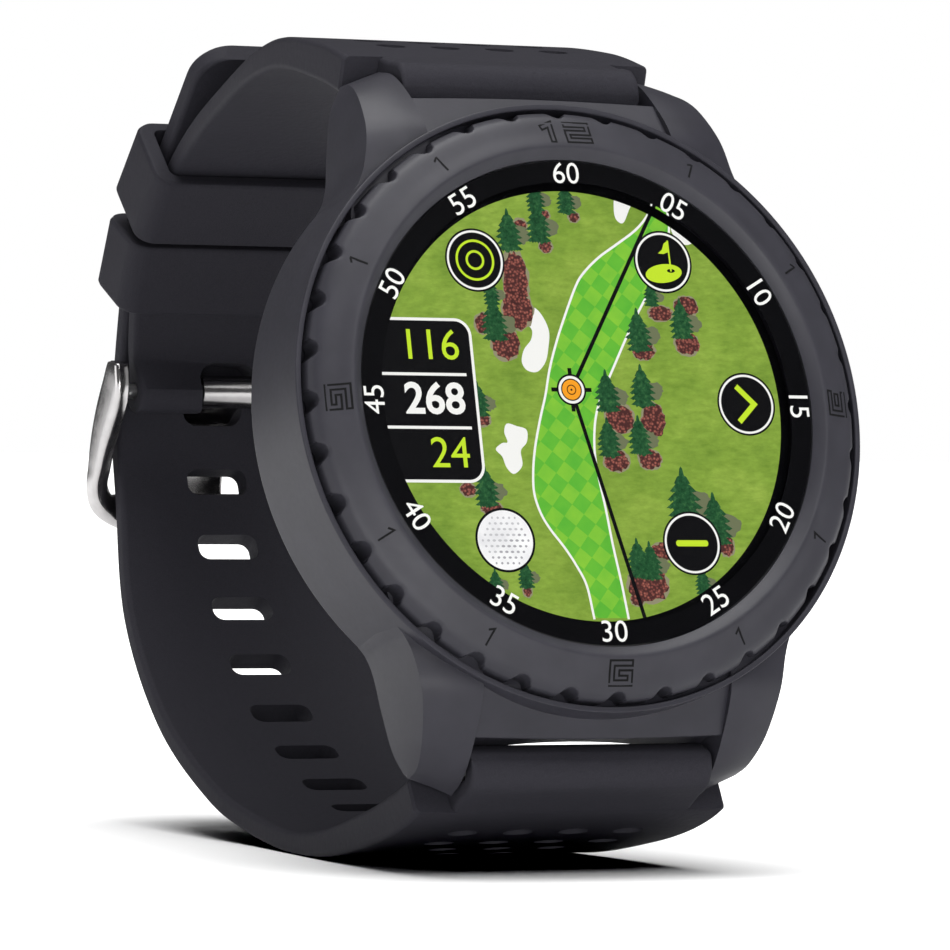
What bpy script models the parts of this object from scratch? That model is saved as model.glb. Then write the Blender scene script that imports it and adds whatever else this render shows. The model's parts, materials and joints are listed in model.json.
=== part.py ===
"""Golf GPS watch: round case with a turning grip bezel, buckled silicone strap.

The watch is modelled in a dial frame (x to 3 o'clock, y to 12 o'clock, z out of the glass, millimetres)
and parented to one empty, which leans it back on its strap and sets it on the floor.
Depths are measured from the bezel's numeral plane into the watch, heights towards 12 o'clock.
"""
import math

import bmesh
import bpy
from mathutils import Matrix, Vector

MM = 0.001

# ---------------------------------------------------------------- driving dimensions (millimetres)
LEAN = 15.0                 # how far the dial leans back, degrees

DISPLAY_R = 17.7            # lit area of the 1.39 inch display
GLASS_R = 19.9
BEZEL_R = 24.2
BEZEL_BORE = 20.85
BEZEL_BACK = 3.3            # depth of the bezel's underside
NOTCHES = 36
NOTCH_R = 0.85
NOTCH_OUT = 0.2             # notch centres sit this far outside the bezel's edge

CASE_R = 25.05
RIM_WALL = 0.5
RIM_FRONT = 1.6
DECK = 3.9                  # the bezel runs over this face
CAVITY_R = 20.8
CORE_R = 13.0               # the case starts as a ring about this bore
CAVITY_FRONT = 4.9
WALL_BACK = 10.4
CASE_BACK = 12.7

LUG_X = 16.5                # outer side of a lug
LUG_GAP = 22.0              # between the two lugs of a pair
BAR_DEPTH = 8.4
BAR_HEIGHT = 28.3
BAR_R = 0.75
PIN_R = 0.42
PIN_REACH = 1.2

PILLAR_AT = 19.4            # distance of the case screws from the dial's axis
PILLAR_R = 1.6
SCREW_R = 0.5
SCREW_HEAD_R = 0.95

BUTTON_DEPTH = 7.3
BUTTON_R = 2.0
BUTTON_PROUD = 1.0
BUTTON_STEM_R = 0.8
SPRING_SEAT_R = 1.65        # bore in the cap that swallows the spring as it is pressed
SPRING_SEAT_END = 24.95

STRAP_TONGUE_W = 21.4       # width of the strap between the lugs
STRAP_BARREL_R = 2.1
STRAP_THICK_LUG = 3.2
STRAP_THICK = 1.9
SLOT_W = 5.7
SLOT_H = 2.4
SLOT_PITCH = 6.4
TONGUE_SLOT_H = 3.4

BUCKLE_BAR = (69.6, 18.8)   # depth and height of the buckle's spring bar
BUCKLE_BAR_R = 0.65
BUCKLE_BARREL_R = 1.95
BUCKLE_INNER = 9.8          # half of the opening between the side arms
BUCKLE_OUTER = 11.3
TONGUE_W = 5.2
TONGUE_THICK = 0.9

KEEPER_FRONT_LENGTH = 7.3   # along the strap
KEEPER_REAR_LENGTH = 6.6
KEEPER_WALL = 1.2
KEEPER_HALF = 10.9
KEEPER_INNER_HALF = 9.4
KEEPER_SLACK = 0.75         # its clearance under the upper strap

# a lug, row by row towards its tip: inner height and depth, outer height and depth, and how far the outer
# side lies inside LUG_X at the front and at the back; the first rows flare into the case ring
LUG_ROWS = (
    (14.0, 2.3, 14.0, 2.9, -1.9, -1.9), (17.2, 2.2, 17.2, 2.9, -1.4, -1.4),
    (18.6, 2.2, 18.6, 2.9, -0.6, -0.6),
    (20.2, 2.2, 20.2, 2.9, 0.0, -0.1), (23.2, 2.5, 23.0, 3.3, 0.6, 0.3), (26.6, 5.0, 26.2, 5.4, 1.2, 0.9),
    (28.9, 7.5, 28.0, 7.8, 1.7, 1.7), (29.9, 10.0, 28.5, 9.9, 1.9, 1.9),
)
LUG_TIP_BACK = (29.4, 28.1)     # heights of the tip's back edge, inner and outer
BRIDGE = ((14.0, 3.0), (22.6, 2.7), (26.3, 5.0), (25.6, 6.2), (25.3, WALL_BACK), (14.0, WALL_BACK))

# strap centre lines as (depth, height, half width)
UPPER_LINE = (
    (8.4, 28.3, 13.9), (11.0, 29.9, 13.9), (15.6, 32.4, 13.6), (23.4, 35.6, 13.0), (29.1, 36.8, 12.5),
    (35.1, 37.2, 11.8), (41.0, 37.2, 11.0), (47.8, 36.9, 10.2), (54.3, 36.2, 9.3), (59.5, 34.4, 8.9),
    (63.9, 31.3, 8.9), (67.5, 27.2, 8.9), (69.4, 22.8, 8.8), (69.6, 18.8, 8.8),
)
LOWER_LINE = (
    (8.4, -28.3, 13.9), (11.8, -29.7, 13.9), (17.0, -30.2, 13.7), (22.9, -30.1, 13.4), (31.4, -29.4, 12.7),
    (40.0, -27.6, 11.8), (48.7, -24.3, 11.2), (56.1, -20.0, 11.3), (65.1, -11.9, 11.2), (71.1, -1.3, 10.8),
    (73.9, 10.0, 9.4), (73.8, 17.5, 9.1),
)
# lengths back from the buckle bar, where the tail lies on the strap
TAIL_RESTS_AT = (6.4, 10.9, 15.4, 19.9)
TAIL_LIFT = 2.35
TAIL_TIP = (49.0, 43.8, 8.9)

ROUND = 72
COARSE = 48
SMALL = 16

# ---------------------------------------------------------------- scene, materials and shared helpers
for old in list(bpy.data.objects):
    bpy.data.objects.remove(old, do_unlink=True)

PARTS = bpy.data.collections.new("golf_gps_watch")
CUTTERS = bpy.data.collections.new("cutters")
bpy.context.scene.collection.children.link(PARTS)
bpy.context.scene.collection.children.link(CUTTERS)

WATCH = bpy.data.objects.new("watch_frame", None)
WATCH.rotation_euler = (math.radians(90.0 - LEAN), 0.0, 0.0)
PARTS.objects.link(WATCH)


def material(name, colour, roughness, metallic=0.0):
    mat = bpy.data.materials.new(name)
    mat.use_nodes = True
    shader = mat.node_tree.nodes["Principled BSDF"]
    shader.inputs["Base Color"].default_value = (*colour, 1.0)
    shader.inputs["Roughness"].default_value = roughness
    shader.inputs["Metallic"].default_value = metallic
    return mat


CHARCOAL = (0.070, 0.070, 0.078)
RUBBER = (0.020, 0.019, 0.023)
STEEL = (0.62, 0.61, 0.60)


def place(name, mesh, mat=None, origin=(0.0, 0.0, 0.0), cutter=False):
    """Link a mesh given in dial millimetres; its origin is moved to `origin`."""
    mesh.transform(Matrix.Scale(MM, 4) @ Matrix.Translation(-Vector(origin)))
    obj = bpy.data.objects.new(name, mesh)
    obj.parent = WATCH
    obj.location = Vector(origin) * MM
    if cutter:
        CUTTERS.objects.link(obj)
        obj.hide_render = True
        obj.display_type = "WIRE"
    else:
        PARTS.objects.link(obj)
        mesh.materials.append(material(name, *mat))
        mesh.shade_smooth()
        mesh.set_sharp_from_angle(angle=math.radians(35))
    return obj


def finish_mesh(name, bm):
    bmesh.ops.recalc_face_normals(bm, faces=bm.faces)
    if bm.calc_volume(signed=True) < 0.0:
        bmesh.ops.reverse_faces(bm, faces=bm.faces)
    mesh = bpy.data.meshes.new(name)
    bm.to_mesh(mesh)
    bm.free()
    return mesh


def turned(name, profile, mat=None, steps=ROUND, cutter=False):
    """A ring or disc about the dial's axis; the profile is (radius, depth), down its outer side."""
    closed = profile[0][0] > 0.0
    verts = [(r * MM, 0.0, -d * MM) for r, d in profile]
    edges = [(i, i + 1) for i in range(len(verts) - 1)]
    if closed:
        edges.append((len(verts) - 1, 0))
    mesh = bpy.data.meshes.new(name)
    mesh.from_pydata(verts, edges, [])
    obj = bpy.data.objects.new(name, mesh)
    obj.parent = WATCH
    screw = obj.modifiers.new("turn", "SCREW")
    screw.axis = "Z"
    screw.angle = math.tau
    screw.steps = screw.render_steps = steps
    screw.use_merge_vertices = True
    screw.merge_threshold = 0.000005
    screw.use_smooth_shade = True
    if cutter:
        CUTTERS.objects.link(obj)
        obj.hide_render = True
        obj.display_type = "WIRE"
        obj.rotation_euler.z = math.pi / steps
    else:
        PARTS.objects.link(obj)
        mesh.materials.append(material(name, *mat))
    return obj


def boolean(obj, cutter, operation="DIFFERENCE"):
    mod = obj.modifiers.new(cutter.name, "BOOLEAN")
    mod.operation = operation
    mod.solver = "EXACT"
    mod.object = cutter


def rod(bm, start, end, radius, segments=SMALL, radius_end=None):
    """Add a cylinder or cone between two points in dial millimetres."""
    a, b = Vector(start), Vector(end)
    turn = (b - a).to_track_quat("Z", "Y").to_matrix().to_4x4()
    bmesh.ops.create_cone(
        bm, cap_ends=True, segments=segments, radius1=radius,
        radius2=radius if radius_end is None else radius_end,
        depth=(b - a).length, matrix=Matrix.Translation((a + b) / 2) @ turn)


def block(bm, centre, size, bevel=0.0, turn=None):
    """Add a box, with bevelled edges when asked, in dial millimetres."""
    box = bmesh.new()
    bmesh.ops.create_cube(box, size=1.0, matrix=Matrix.Diagonal((*size, 1.0)))
    if bevel:
        bmesh.ops.bevel(box, geom=box.edges[:], offset=bevel, segments=2, affect="EDGES", profile=0.5)
    box.transform(Matrix.Translation(centre) @ (turn if turn else Matrix.Identity(4)))
    part = bpy.data.meshes.new("block")
    box.to_mesh(part)
    box.free()
    bm.from_mesh(part)
    bpy.data.meshes.remove(part)


def rods(name, pieces, mat=None, cutter=False, segments=SMALL, origin=(0.0, 0.0, 0.0)):
    bm = bmesh.new()
    for piece in pieces:
        rod(bm, *piece, segments=segments)
    return place(name, finish_mesh(name, bm), mat, origin, cutter)


def boxes(name, pieces, mat=None, cutter=False, origin=(0.0, 0.0, 0.0)):
    bm = bmesh.new()
    for piece in pieces:
        block(bm, *piece)
    return place(name, finish_mesh(name, bm), mat, origin, cutter)


def loft(name, sections, mat=None, cutter=False, origin=(0.0, 0.0, 0.0)):
    """Join equal-sized closed sections with quads and cap both ends."""
    bm = bmesh.new()
    rings = [[bm.verts.new(p) for p in section] for section in sections]
    for a, b in zip(rings, rings[1:]):
        for i in range(len(a)):
            j = (i + 1) % len(a)
            bm.faces.new((a[i], a[j], b[j], b[i]))
    bm.faces.new(rings[0])
    bm.faces.new(rings[-1])
    return place(name, finish_mesh(name, bm), mat, origin, cutter)


# ---------------------------------------------------------------- strap path
def smooth_line(points, per_span=3):
    """Catmull-Rom curve through (depth, height, half width) points, as a list of tuples."""
    first = tuple(2 * a - b for a, b in zip(points[0], points[1]))
    last = tuple(2 * a - b for a, b in zip(points[-1], points[-2]))
    chain = (first, *points, last)
    out = []
    for i in range(1, len(chain) - 2):
        for k in range(per_span):
            t = k / per_span
            out.append(tuple(
                0.5 * (2 * b + (c - a) * t + (2 * a - 5 * b + 4 * c - d) * t * t
                       + (3 * b - a - 3 * c + d) * t ** 3)
                for a, b, c, d in zip(*chain[i - 1:i + 3])))
    out.append(points[-1])
    return out


class Path:
    """A strap's centre line, measured by its length from the lug bar."""

    def __init__(self, points, outward):
        self.points = smooth_line(points)
        self.outward = outward
        self.length = [0.0]
        for a, b in zip(self.points, self.points[1:]):
            self.length.append(self.length[-1] + math.hypot(b[0] - a[0], b[1] - a[1]))
        self.total = self.length[-1]

    def at(self, s):
        """Depth, height and half width at length s; it runs straight on past its ends."""
        i = 1
        while i < len(self.length) - 1 and self.length[i] < s:
            i += 1
        t = (s - self.length[i - 1]) / (self.length[i] - self.length[i - 1])
        return tuple(a + (b - a) * t for a, b in zip(self.points[i - 1], self.points[i]))

    def heading(self, s):
        a, b = self.at(s - 1.0), self.at(s + 1.0)
        return math.atan2(b[1] - a[1], b[0] - a[0])

    def frame(self, s, side=0.0):
        """Matrix with x across the strap, y along it and z out of the wrist, at an offset outwards."""
        depth, height, _ = self.at(s)
        angle = self.heading(s)
        along = Vector((0.0, math.sin(angle), -math.cos(angle)))
        out = Vector((0.0, math.cos(angle), math.sin(angle))) * self.outward
        across = along.cross(out)
        where = Vector((0.0, height, -depth)) + out * side
        return Matrix((
            (across.x, along.x, out.x, where.x),
            (across.y, along.y, out.y, where.y),
            (across.z, along.z, out.z, where.z),
            (0.0, 0.0, 0.0, 1.0)))


def tail_line(upper):
    """Centre line of the long strap's tail where it lies on the upper strap, then straight to its tip."""
    line = []
    for back in TAIL_RESTS_AT:
        spot = upper.frame(upper.total - back, TAIL_LIFT).translation
        line.append((-spot.z, spot.y, 8.9))
    line.append(TAIL_TIP)
    return tuple(line)


UPPER = Path(UPPER_LINE, 1.0)
LOWER = Path(LOWER_LINE + tail_line(UPPER), -1.0)

SHOULDER_AT = 3.1           # length from the bar at which the strap widens behind the lugs
SLOT_PULL = 0.8             # the slot in use is drawn this much away from the free ones
TONGUE_SLOT_AT = 94.6       # length along the lower strap of the slot that takes the buckle's tongue


def strap_thickness(s):
    """Barrel round the bar, then thick at the lugs, thinning to the plain strap."""
    ease = min(1.0, max(0.0, (s - 8.0) / 22.0))
    return STRAP_THICK_LUG + (STRAP_THICK - STRAP_THICK_LUG) * ease


def strap_section(path, s, half, thick, chamfer=0.45):
    """Eight-sided cross-section of the strap at length s."""
    c = min(chamfer, thick * 0.3)
    t = thick / 2
    outline = ((-half, -t + c), (-half + c, -t), (half - c, -t), (half, -t + c),
               (half, t - c), (half - c, t), (-half + c, t), (-half, t - c))
    frame = path.frame(s)
    return [frame @ Vector((x, 0.0, z)) for x, z in outline]


def barrel_stations(path, radius, half, steps=5):
    """Sections that round the strap's end about its bar."""
    out = []
    for k in range(steps):
        angle = math.radians(14 + 66 * k / (steps - 1))
        out.append(strap_section(path, -radius * math.cos(angle), half, 2 * radius * math.sin(angle)))
    return out


def strap_stations(start, end, count):
    return [start + (end - start) * k / (count - 1) for k in range(count)]


# ---------------------------------------------------------------- case
def make_mid_case():
    case = turned("mid_case", (
        (CASE_R - 0.15, RIM_FRONT), (CASE_R, RIM_FRONT + 0.25), (CASE_R, WALL_BACK),
        (CASE_R - 0.9, WALL_BACK + 0.8), (CORE_R, WALL_BACK + 0.8), (CORE_R, RIM_FRONT)), (CHARCOAL, 0.45))
    half_gap = LUG_GAP / 2
    rows = []
    for h_in, d_in, h_out, d_out, front, back in LUG_ROWS:
        rows.append([
            (half_gap, h_in, -d_in), (LUG_X - front, h_out, -d_out),
            (LUG_X - back, min(h_out, LUG_TIP_BACK[1]), -WALL_BACK),
            (half_gap, min(h_in, LUG_TIP_BACK[0]), -WALL_BACK)])
    lug = loft("case_lugs", rows, cutter=True)
    mirror = lug.modifiers.new("four_lugs", "MIRROR")
    mirror.use_axis = (True, True, False)
    mirror.use_mirror_merge = False
    mirror.mirror_object = WATCH
    boolean(case, lug, "UNION")
    reach = half_gap + 0.3
    between = loft("case_bridges", (
        [(-reach, h, -d) for h, d in BRIDGE], [(reach, h, -d) for h, d in BRIDGE]), cutter=True)
    mirror = between.modifiers.new("two_bridges", "MIRROR")
    mirror.use_axis = (False, True, False)
    mirror.use_mirror_merge = False
    mirror.mirror_object = WATCH
    boolean(case, between, "UNION")
    boolean(case, turned("bezel_channel", (
        (BEZEL_BORE - 0.25, 0.9), (CASE_R - RIM_WALL, 0.9), (CASE_R - RIM_WALL, DECK),
        (BEZEL_BORE - 0.25, DECK)),
        cutter=True))
    boolean(case, turned("case_cavity", (
        (GLASS_R + 0.1, RIM_FRONT - 1.0), (GLASS_R + 0.1, 1.75), (19.0, 1.75),
        (19.0, CAVITY_FRONT), (CAVITY_R, CAVITY_FRONT), (CAVITY_R, 10.05), (22.5, 10.05), (22.5, 12.0),
        (CORE_R - 1.0, 12.0), (CORE_R - 1.0, RIM_FRONT - 1.0)), cutter=True))
    pillars, holes = [], []
    for x, y in pillar_places():
        pillars.append(((x, y, -(CAVITY_FRONT - 0.4)), (x, y, -9.9), PILLAR_R))
        holes.append(((x, y, -6.6), (x, y, -11.0), SCREW_R))
    boolean(case, rods("case_pillars", pillars, cutter=True, segments=16), "UNION")
    boolean(case, rods("case_screw_holes", holes, cutter=True, segments=12))
    y, z = 0.0, -BUTTON_DEPTH
    boolean(case, rods("button_bore", (((18.0, y, z), (22.6, y, z), BUTTON_STEM_R + 0.5),), cutter=True))
    boolean(case, rods("button_pocket", (((22.4, y, z), (27.0, y, z), BUTTON_R + 0.25),), cutter=True))
    bars = [((s * (half_gap - 1.0), t * BAR_HEIGHT, -BAR_DEPTH),
             (s * (half_gap + 1.6), t * BAR_HEIGHT, -BAR_DEPTH),
             PIN_R + 0.06) for s in (-1, 1) for t in (-1, 1)]
    boolean(case, rods("spring_bar_holes", bars, cutter=True, segments=12))


def pillar_places():
    at = PILLAR_AT / math.sqrt(2)
    return [(sx * at, sy * at) for sx in (-1, 1) for sy in (-1, 1)]


def make_case_back():
    back = turned("case_back", (
        (0.0, 10.45), (22.3, 10.45), (22.3, 11.25), (21.4, 11.6), (16.8, 11.9), (15.4, CASE_BACK),
        (0.0, CASE_BACK)),
        ((0.045, 0.045, 0.050), 0.5), COARSE)
    heads = []
    for x, y in pillar_places():
        heads.append(((x, y, -10.0), (x, y, -12.5), SCREW_R + 0.08))
        heads.append(((x, y, -11.0), (x, y, -12.5), SCREW_HEAD_R + 0.1))
    boolean(back, rods("case_back_screw_holes", heads[0::2], cutter=True, segments=12))
    boolean(back, rods("case_back_head_seats", heads[1::2], cutter=True, segments=16))
    contacts = [((x, -8.0, -10.0), (x, -8.0, -13.5), 0.86) for x in contact_places()]
    boolean(back, rods("contact_holes", contacts, cutter=True, segments=16))
    turned("case_back_gasket", ((21.0, 10.1), (22.2, 10.1), (22.2, 10.4), (21.0, 10.4)),
           ((0.25, 0.05, 0.03), 0.6), COARSE)
    for number, (x, y) in enumerate(pillar_places(), 1):
        bm = bmesh.new()
        rod(bm, (x, y, -7.2), (x, y, -11.2), SCREW_R - 0.04, 12)
        screw = place(f"case_back_screw_{number}", finish_mesh("screw", bm), (STEEL, 0.3, 1.0))
        head = rods(f"screw_head_{number}", (((x, y, -11.05), (x, y, -11.6), SCREW_HEAD_R),),
                    cutter=True, segments=16)
        boolean(screw, head, "UNION")


def contact_places():
    return [-4.5 + 3.0 * k for k in range(4)]


def make_contacts():
    for number, x in enumerate(contact_places(), 1):
        rods(f"charging_contact_{number}", (((x, -8.0, -9.9), (x, -8.0, -12.72), 0.8),),
             ((0.75, 0.55, 0.22), 0.25, 1.0), segments=16)


# ---------------------------------------------------------------- bezel, glass and display
def make_bezel():
    bezel = turned("bezel", (
        (22.1, 0.0), (23.5, 0.55), (24.05, 1.2), (BEZEL_R, 1.6), (BEZEL_R, BEZEL_BACK),
        (BEZEL_BORE, BEZEL_BACK), (BEZEL_BORE, 0.8), (20.0, 0.8), (20.0, 0.35), (20.75, -0.4),
        (21.1, -0.42)),
        (CHARCOAL, 0.42))
    notch = []
    for k in range(NOTCHES):
        a = math.tau * k / NOTCHES
        r = BEZEL_R + NOTCH_OUT
        at = (r * math.sin(a), r * math.cos(a))
        notch.append(((*at, 1.0), (*at, -4.0), NOTCH_R))
    boolean(bezel, rods("bezel_notches", notch, cutter=True, segments=8))
    turned("bezel_spring_ring", ((21.4, 3.4), (23.2, 3.4), (23.2, 3.8), (21.4, 3.8)),
           (STEEL, 0.35, 1.0), COARSE)


def make_glass_and_display():
    turned("glass", ((0.0, 0.35), (GLASS_R - 0.25, 0.35), (GLASS_R, 0.6), (GLASS_R, 1.5), (0.0, 1.5)),
           ((0.02, 0.02, 0.022), 0.08), COARSE)
    turned("glass_gasket", ((19.1, 1.55), (19.8, 1.55), (19.8, 1.7), (19.1, 1.7)),
           ((0.02, 0.02, 0.02), 0.7), COARSE)
    turned("display_panel", ((0.0, 1.6), (DISPLAY_R + 0.8, 1.6), (DISPLAY_R + 0.8, 2.9), (0.0, 2.9)),
           ((0.05, 0.22, 0.03), 0.3), COARSE)
    turned("display_frame", ((0.0, 3.0), (18.6, 3.0), (18.6, 4.95), (20.2, 4.95), (20.2, 5.4), (17.0, 5.4),
                             (17.0, 3.9),
                             (0.0, 3.9)), ((0.10, 0.10, 0.11), 0.6), COARSE)
    frame = bpy.data.objects["display_frame"]
    gaps = [((x, y, -4.3), (x, y, -6.0), PILLAR_R + 0.3) for x, y in pillar_places()]
    boolean(frame, rods("frame_pillar_gaps", gaps, cutter=True, segments=16))
    boolean(frame, boxes("frame_flex_gap", (((0.0, -15.0, -3.4), (9.6, 1.6, 2.0)),), cutter=True))


# ---------------------------------------------------------------- inside the case
def make_electronics():
    board = turned("main_board", ((0.0, 5.7), (19.3, 5.7), (19.3, 6.5), (0.0, 6.5)),
                   ((0.02, 0.16, 0.07), 0.5), COARSE)
    gaps = [((x, y, -5.0), (x, y, -7.0), PILLAR_R + 0.3) for x, y in pillar_places()]
    boolean(board, rods("board_pillar_gaps", gaps, cutter=True, segments=16))
    inner_screws = [(-10.8, -14.5), (10.8, -14.5), (-10.8, 14.5)]
    holes = [((x, y, -5.0), (x, y, -7.0), 0.55) for x, y in inner_screws]
    boolean(board, rods("board_screw_holes", holes, cutter=True, segments=12))
    for number, (x, y) in enumerate(inner_screws, 1):
        rods(f"board_screw_{number}", (((x, y, -5.5), (x, y, -6.55), 0.45),), (STEEL, 0.3, 1.0), segments=12)
        head = rods(f"board_screw_head_{number}", (((x, y, -6.53), (x, y, -7.0), 0.9),),
                    cutter=True, segments=12)
        boolean(bpy.data.objects[f"board_screw_{number}"], head, "UNION")
    boxes("gps_antenna", (((-4.0, 13.6, -7.7), (10.0, 6.0, 2.2), 0.3),), ((0.70, 0.66, 0.58), 0.6))
    boxes("processor_shield", (((6.2, 13.4, -7.2), (7.0, 6.4, 1.2), 0.2),), (STEEL, 0.3, 1.0))
    boxes("battery", (((-0.5, -1.2, -8.35), (23.0, 21.6, 3.1), 0.6),), ((0.35, 0.36, 0.38), 0.4, 0.6))
    rods("vibration_motor", (((15.2, -7.4, -6.65), (15.2, -7.4, -9.3), 3.2),), (STEEL, 0.3, 1.0))
    boxes("display_flex", (((0.0, -15.0, -4.25), (8.0, 0.3, 2.5)),), ((0.45, 0.20, 0.04), 0.5))
    boxes("button_switch", (((17.5, 0.0, -BUTTON_DEPTH), (2.6, 4.4, 1.4), 0.15),), ((0.06, 0.06, 0.06), 0.5))


# ---------------------------------------------------------------- power button at 3 o'clock
def make_button():
    z = -BUTTON_DEPTH
    face = CASE_R + BUTTON_PROUD
    origin = (face, 0.0, z)
    button = rods("power_button", (((24.2, 0.0, z), (face - 0.3, 0.0, z), BUTTON_R),),
                  ((0.055, 0.055, 0.06), 0.4),
                  origin=origin, segments=32)
    dome = bmesh.new()
    rod(dome, (face - 0.31, 0.0, z), (face, 0.0, z), BUTTON_R, 32, BUTTON_R - 0.35)
    boolean(button, place("button_face", finish_mesh("face", dome), cutter=True), "UNION")
    seat = (((24.0, 0.0, z), (SPRING_SEAT_END, 0.0, z), SPRING_SEAT_R),)
    boolean(button, rods("button_spring_seat", seat, cutter=True, segments=32))
    shaft = (((20.0, 0.0, z), (SPRING_SEAT_END + 0.1, 0.0, z), BUTTON_STEM_R),)
    stem = rods("button_stem", shaft, cutter=True)
    boolean(button, stem, "UNION")
    bm = bmesh.new()
    rod(bm, (21.2, 0.0, z), (21.9, 0.0, z), BUTTON_STEM_R + 0.45)
    seal = place("button_seal", finish_mesh("seal", bm), ((0.02, 0.02, 0.02), 0.8))
    boolean(seal, rods("seal_bore", (((20.0, 0.0, z), (23.0, 0.0, z), BUTTON_STEM_R + 0.03),), cutter=True))
    clip = rods("button_clip", (((20.15, 0.0, z), (20.5, 0.0, z), 1.6),), (STEEL, 0.3, 1.0), origin=origin)
    boolean(clip, rods("clip_bore", (((19.0, 0.0, z), (22.0, 0.0, z), BUTTON_STEM_R + 0.03),), cutter=True))
    coil("button_spring", 22.5, 24.1, 1.35, 0.16, 3.0, z)


def coil(name, start, end, radius, wire, turns, z):
    """A compression spring along x, as a polyline tube."""
    per_turn = 10
    count = int(turns * per_turn)
    curve = bpy.data.curves.new(name, "CURVE")
    curve.dimensions = "3D"
    curve.bevel_depth = wire * MM
    curve.bevel_resolution = 1
    curve.use_fill_caps = True
    spline = curve.splines.new("POLY")
    spline.points.add(count)
    reach = (end - start) - 2 * wire
    for k in range(count + 1):
        a = math.tau * k / per_turn
        x = start + wire + reach * k / count
        spline.points[k].co = (x * MM, radius * math.cos(a) * MM, (z + radius * math.sin(a)) * MM, 1.0)
    curve.materials.append(material(name, STEEL, 0.3, 1.0))
    obj = bpy.data.objects.new(name, curve)
    obj.parent = WATCH
    PARTS.objects.link(obj)


# ---------------------------------------------------------------- strap
def bar_hole(name, depth, height, half, radius):
    return rods(name, (((-half, height, -depth), (half, height, -depth), radius),), cutter=True, segments=16)


def slot_cutter(name, path, places, width, height, depth=6.0):
    bm = bmesh.new()
    for s in places:
        box = bmesh.new()
        bmesh.ops.create_cube(box, size=1.0, matrix=Matrix.Diagonal((width, height, depth, 1.0)))
        upright = [e for e in box.edges if abs(e.verts[0].co.z - e.verts[1].co.z) > depth / 2]
        bmesh.ops.bevel(box, geom=upright, offset=min(width, height) * 0.38, segments=3, affect="EDGES",
                        profile=0.5)
        box.transform(path.frame(s))
        part = bpy.data.meshes.new("slot")
        box.to_mesh(part)
        box.free()
        bm.from_mesh(part)
        bpy.data.meshes.remove(part)
    return place(name, finish_mesh(name, bm), cutter=True)


def make_upper_strap():
    end = UPPER.total
    tongue_half = STRAP_TONGUE_W / 2
    sections = barrel_stations(UPPER, STRAP_BARREL_R, tongue_half)
    sections.append(strap_section(UPPER, 1.0, tongue_half, 3.6))
    sections.append(strap_section(UPPER, SHOULDER_AT, tongue_half, 3.2))
    for s in [SHOULDER_AT + 0.02] + strap_stations(5.0, end - 2.4, 24):
        sections.append(strap_section(UPPER, s, UPPER.at(s)[2], strap_thickness(s)))
    for k in range(5):
        angle = math.radians(80 - 66 * k / 4)
        s = end + BUCKLE_BARREL_R * math.cos(angle)
        sections.append(strap_section(UPPER, s, UPPER.at(end)[2], 2 * BUCKLE_BARREL_R * math.sin(angle)))
    strap = loft("upper_strap", sections, (RUBBER, 0.75), origin=(0.0, BAR_HEIGHT, -BAR_DEPTH))
    boolean(strap, bar_hole("upper_lug_bar_hole", BAR_DEPTH, BAR_HEIGHT, 16.0, BAR_R + 0.08))
    boolean(strap, bar_hole("buckle_bar_hole", *BUCKLE_BAR, 14.0, BUCKLE_BAR_R + 0.08))
    boolean(strap, slot_cutter("tongue_notch", UPPER, [end + 0.2], TONGUE_W + 0.8, 5.4, 8.0))


def make_lower_strap():
    end = LOWER.total
    tongue_half = STRAP_TONGUE_W / 2
    sections = barrel_stations(LOWER, STRAP_BARREL_R, tongue_half)
    sections.append(strap_section(LOWER, 1.0, tongue_half, 3.6))
    sections.append(strap_section(LOWER, SHOULDER_AT, tongue_half, 3.2))
    for s in [SHOULDER_AT + 0.02] + strap_stations(5.0, end - 3.0, 38):
        sections.append(strap_section(LOWER, s, LOWER.at(s)[2], strap_thickness(s)))
    corner = 3.0
    for k in range(1, 6):
        angle = math.radians(18 * k)
        s = end - corner + corner * math.sin(angle)
        half = LOWER.at(end)[2] - corner + corner * math.cos(angle)
        sections.append(strap_section(LOWER, s, half, STRAP_THICK))
    strap = loft("lower_strap", sections, (RUBBER, 0.75), origin=(0.0, -BAR_HEIGHT, -BAR_DEPTH))
    boolean(strap, bar_hole("lower_lug_bar_hole", BAR_DEPTH, -BAR_HEIGHT, 16.0, BAR_R + 0.08))
    places = [TONGUE_SLOT_AT + SLOT_PITCH * k - SLOT_PULL for k in range(-8, 0)]
    places.append(TONGUE_SLOT_AT + SLOT_PITCH)
    boolean(strap, slot_cutter("strap_slots", LOWER, places, SLOT_W, SLOT_H))
    boolean(strap, slot_cutter("tongue_slot", LOWER, [TONGUE_SLOT_AT], SLOT_W, TONGUE_SLOT_H))


def make_spring_bar(name, depth, height, half, radius):
    bm = bmesh.new()
    rod(bm, (-half, height, -depth), (half, height, -depth), radius, 16)
    tube = place(f"{name}_bar", finish_mesh(name, bm), (STEEL, 0.3, 1.0))
    boolean(tube, bar_hole(f"{name}_bore", depth, height, half + 2.0, PIN_R + 0.05))
    for side, word in ((-1, "left"), (1, "right")):
        inner, outer = side * (half - 3.2), side * (half + 0.3 + PIN_REACH)
        rods(f"{name}_pin_{word}", (((inner, height, -depth), (outer, height, -depth), PIN_R),),
             (STEEL, 0.3, 1.0), segments=12, origin=(side * half, height, -depth))


# ---------------------------------------------------------------- buckle and keepers


EIGHT = ((-1, -0.6), (-0.6, -1), (0.6, -1), (1, -0.6), (1, 0.6), (0.6, 1), (-0.6, 1), (-1, 0.6))


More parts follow.
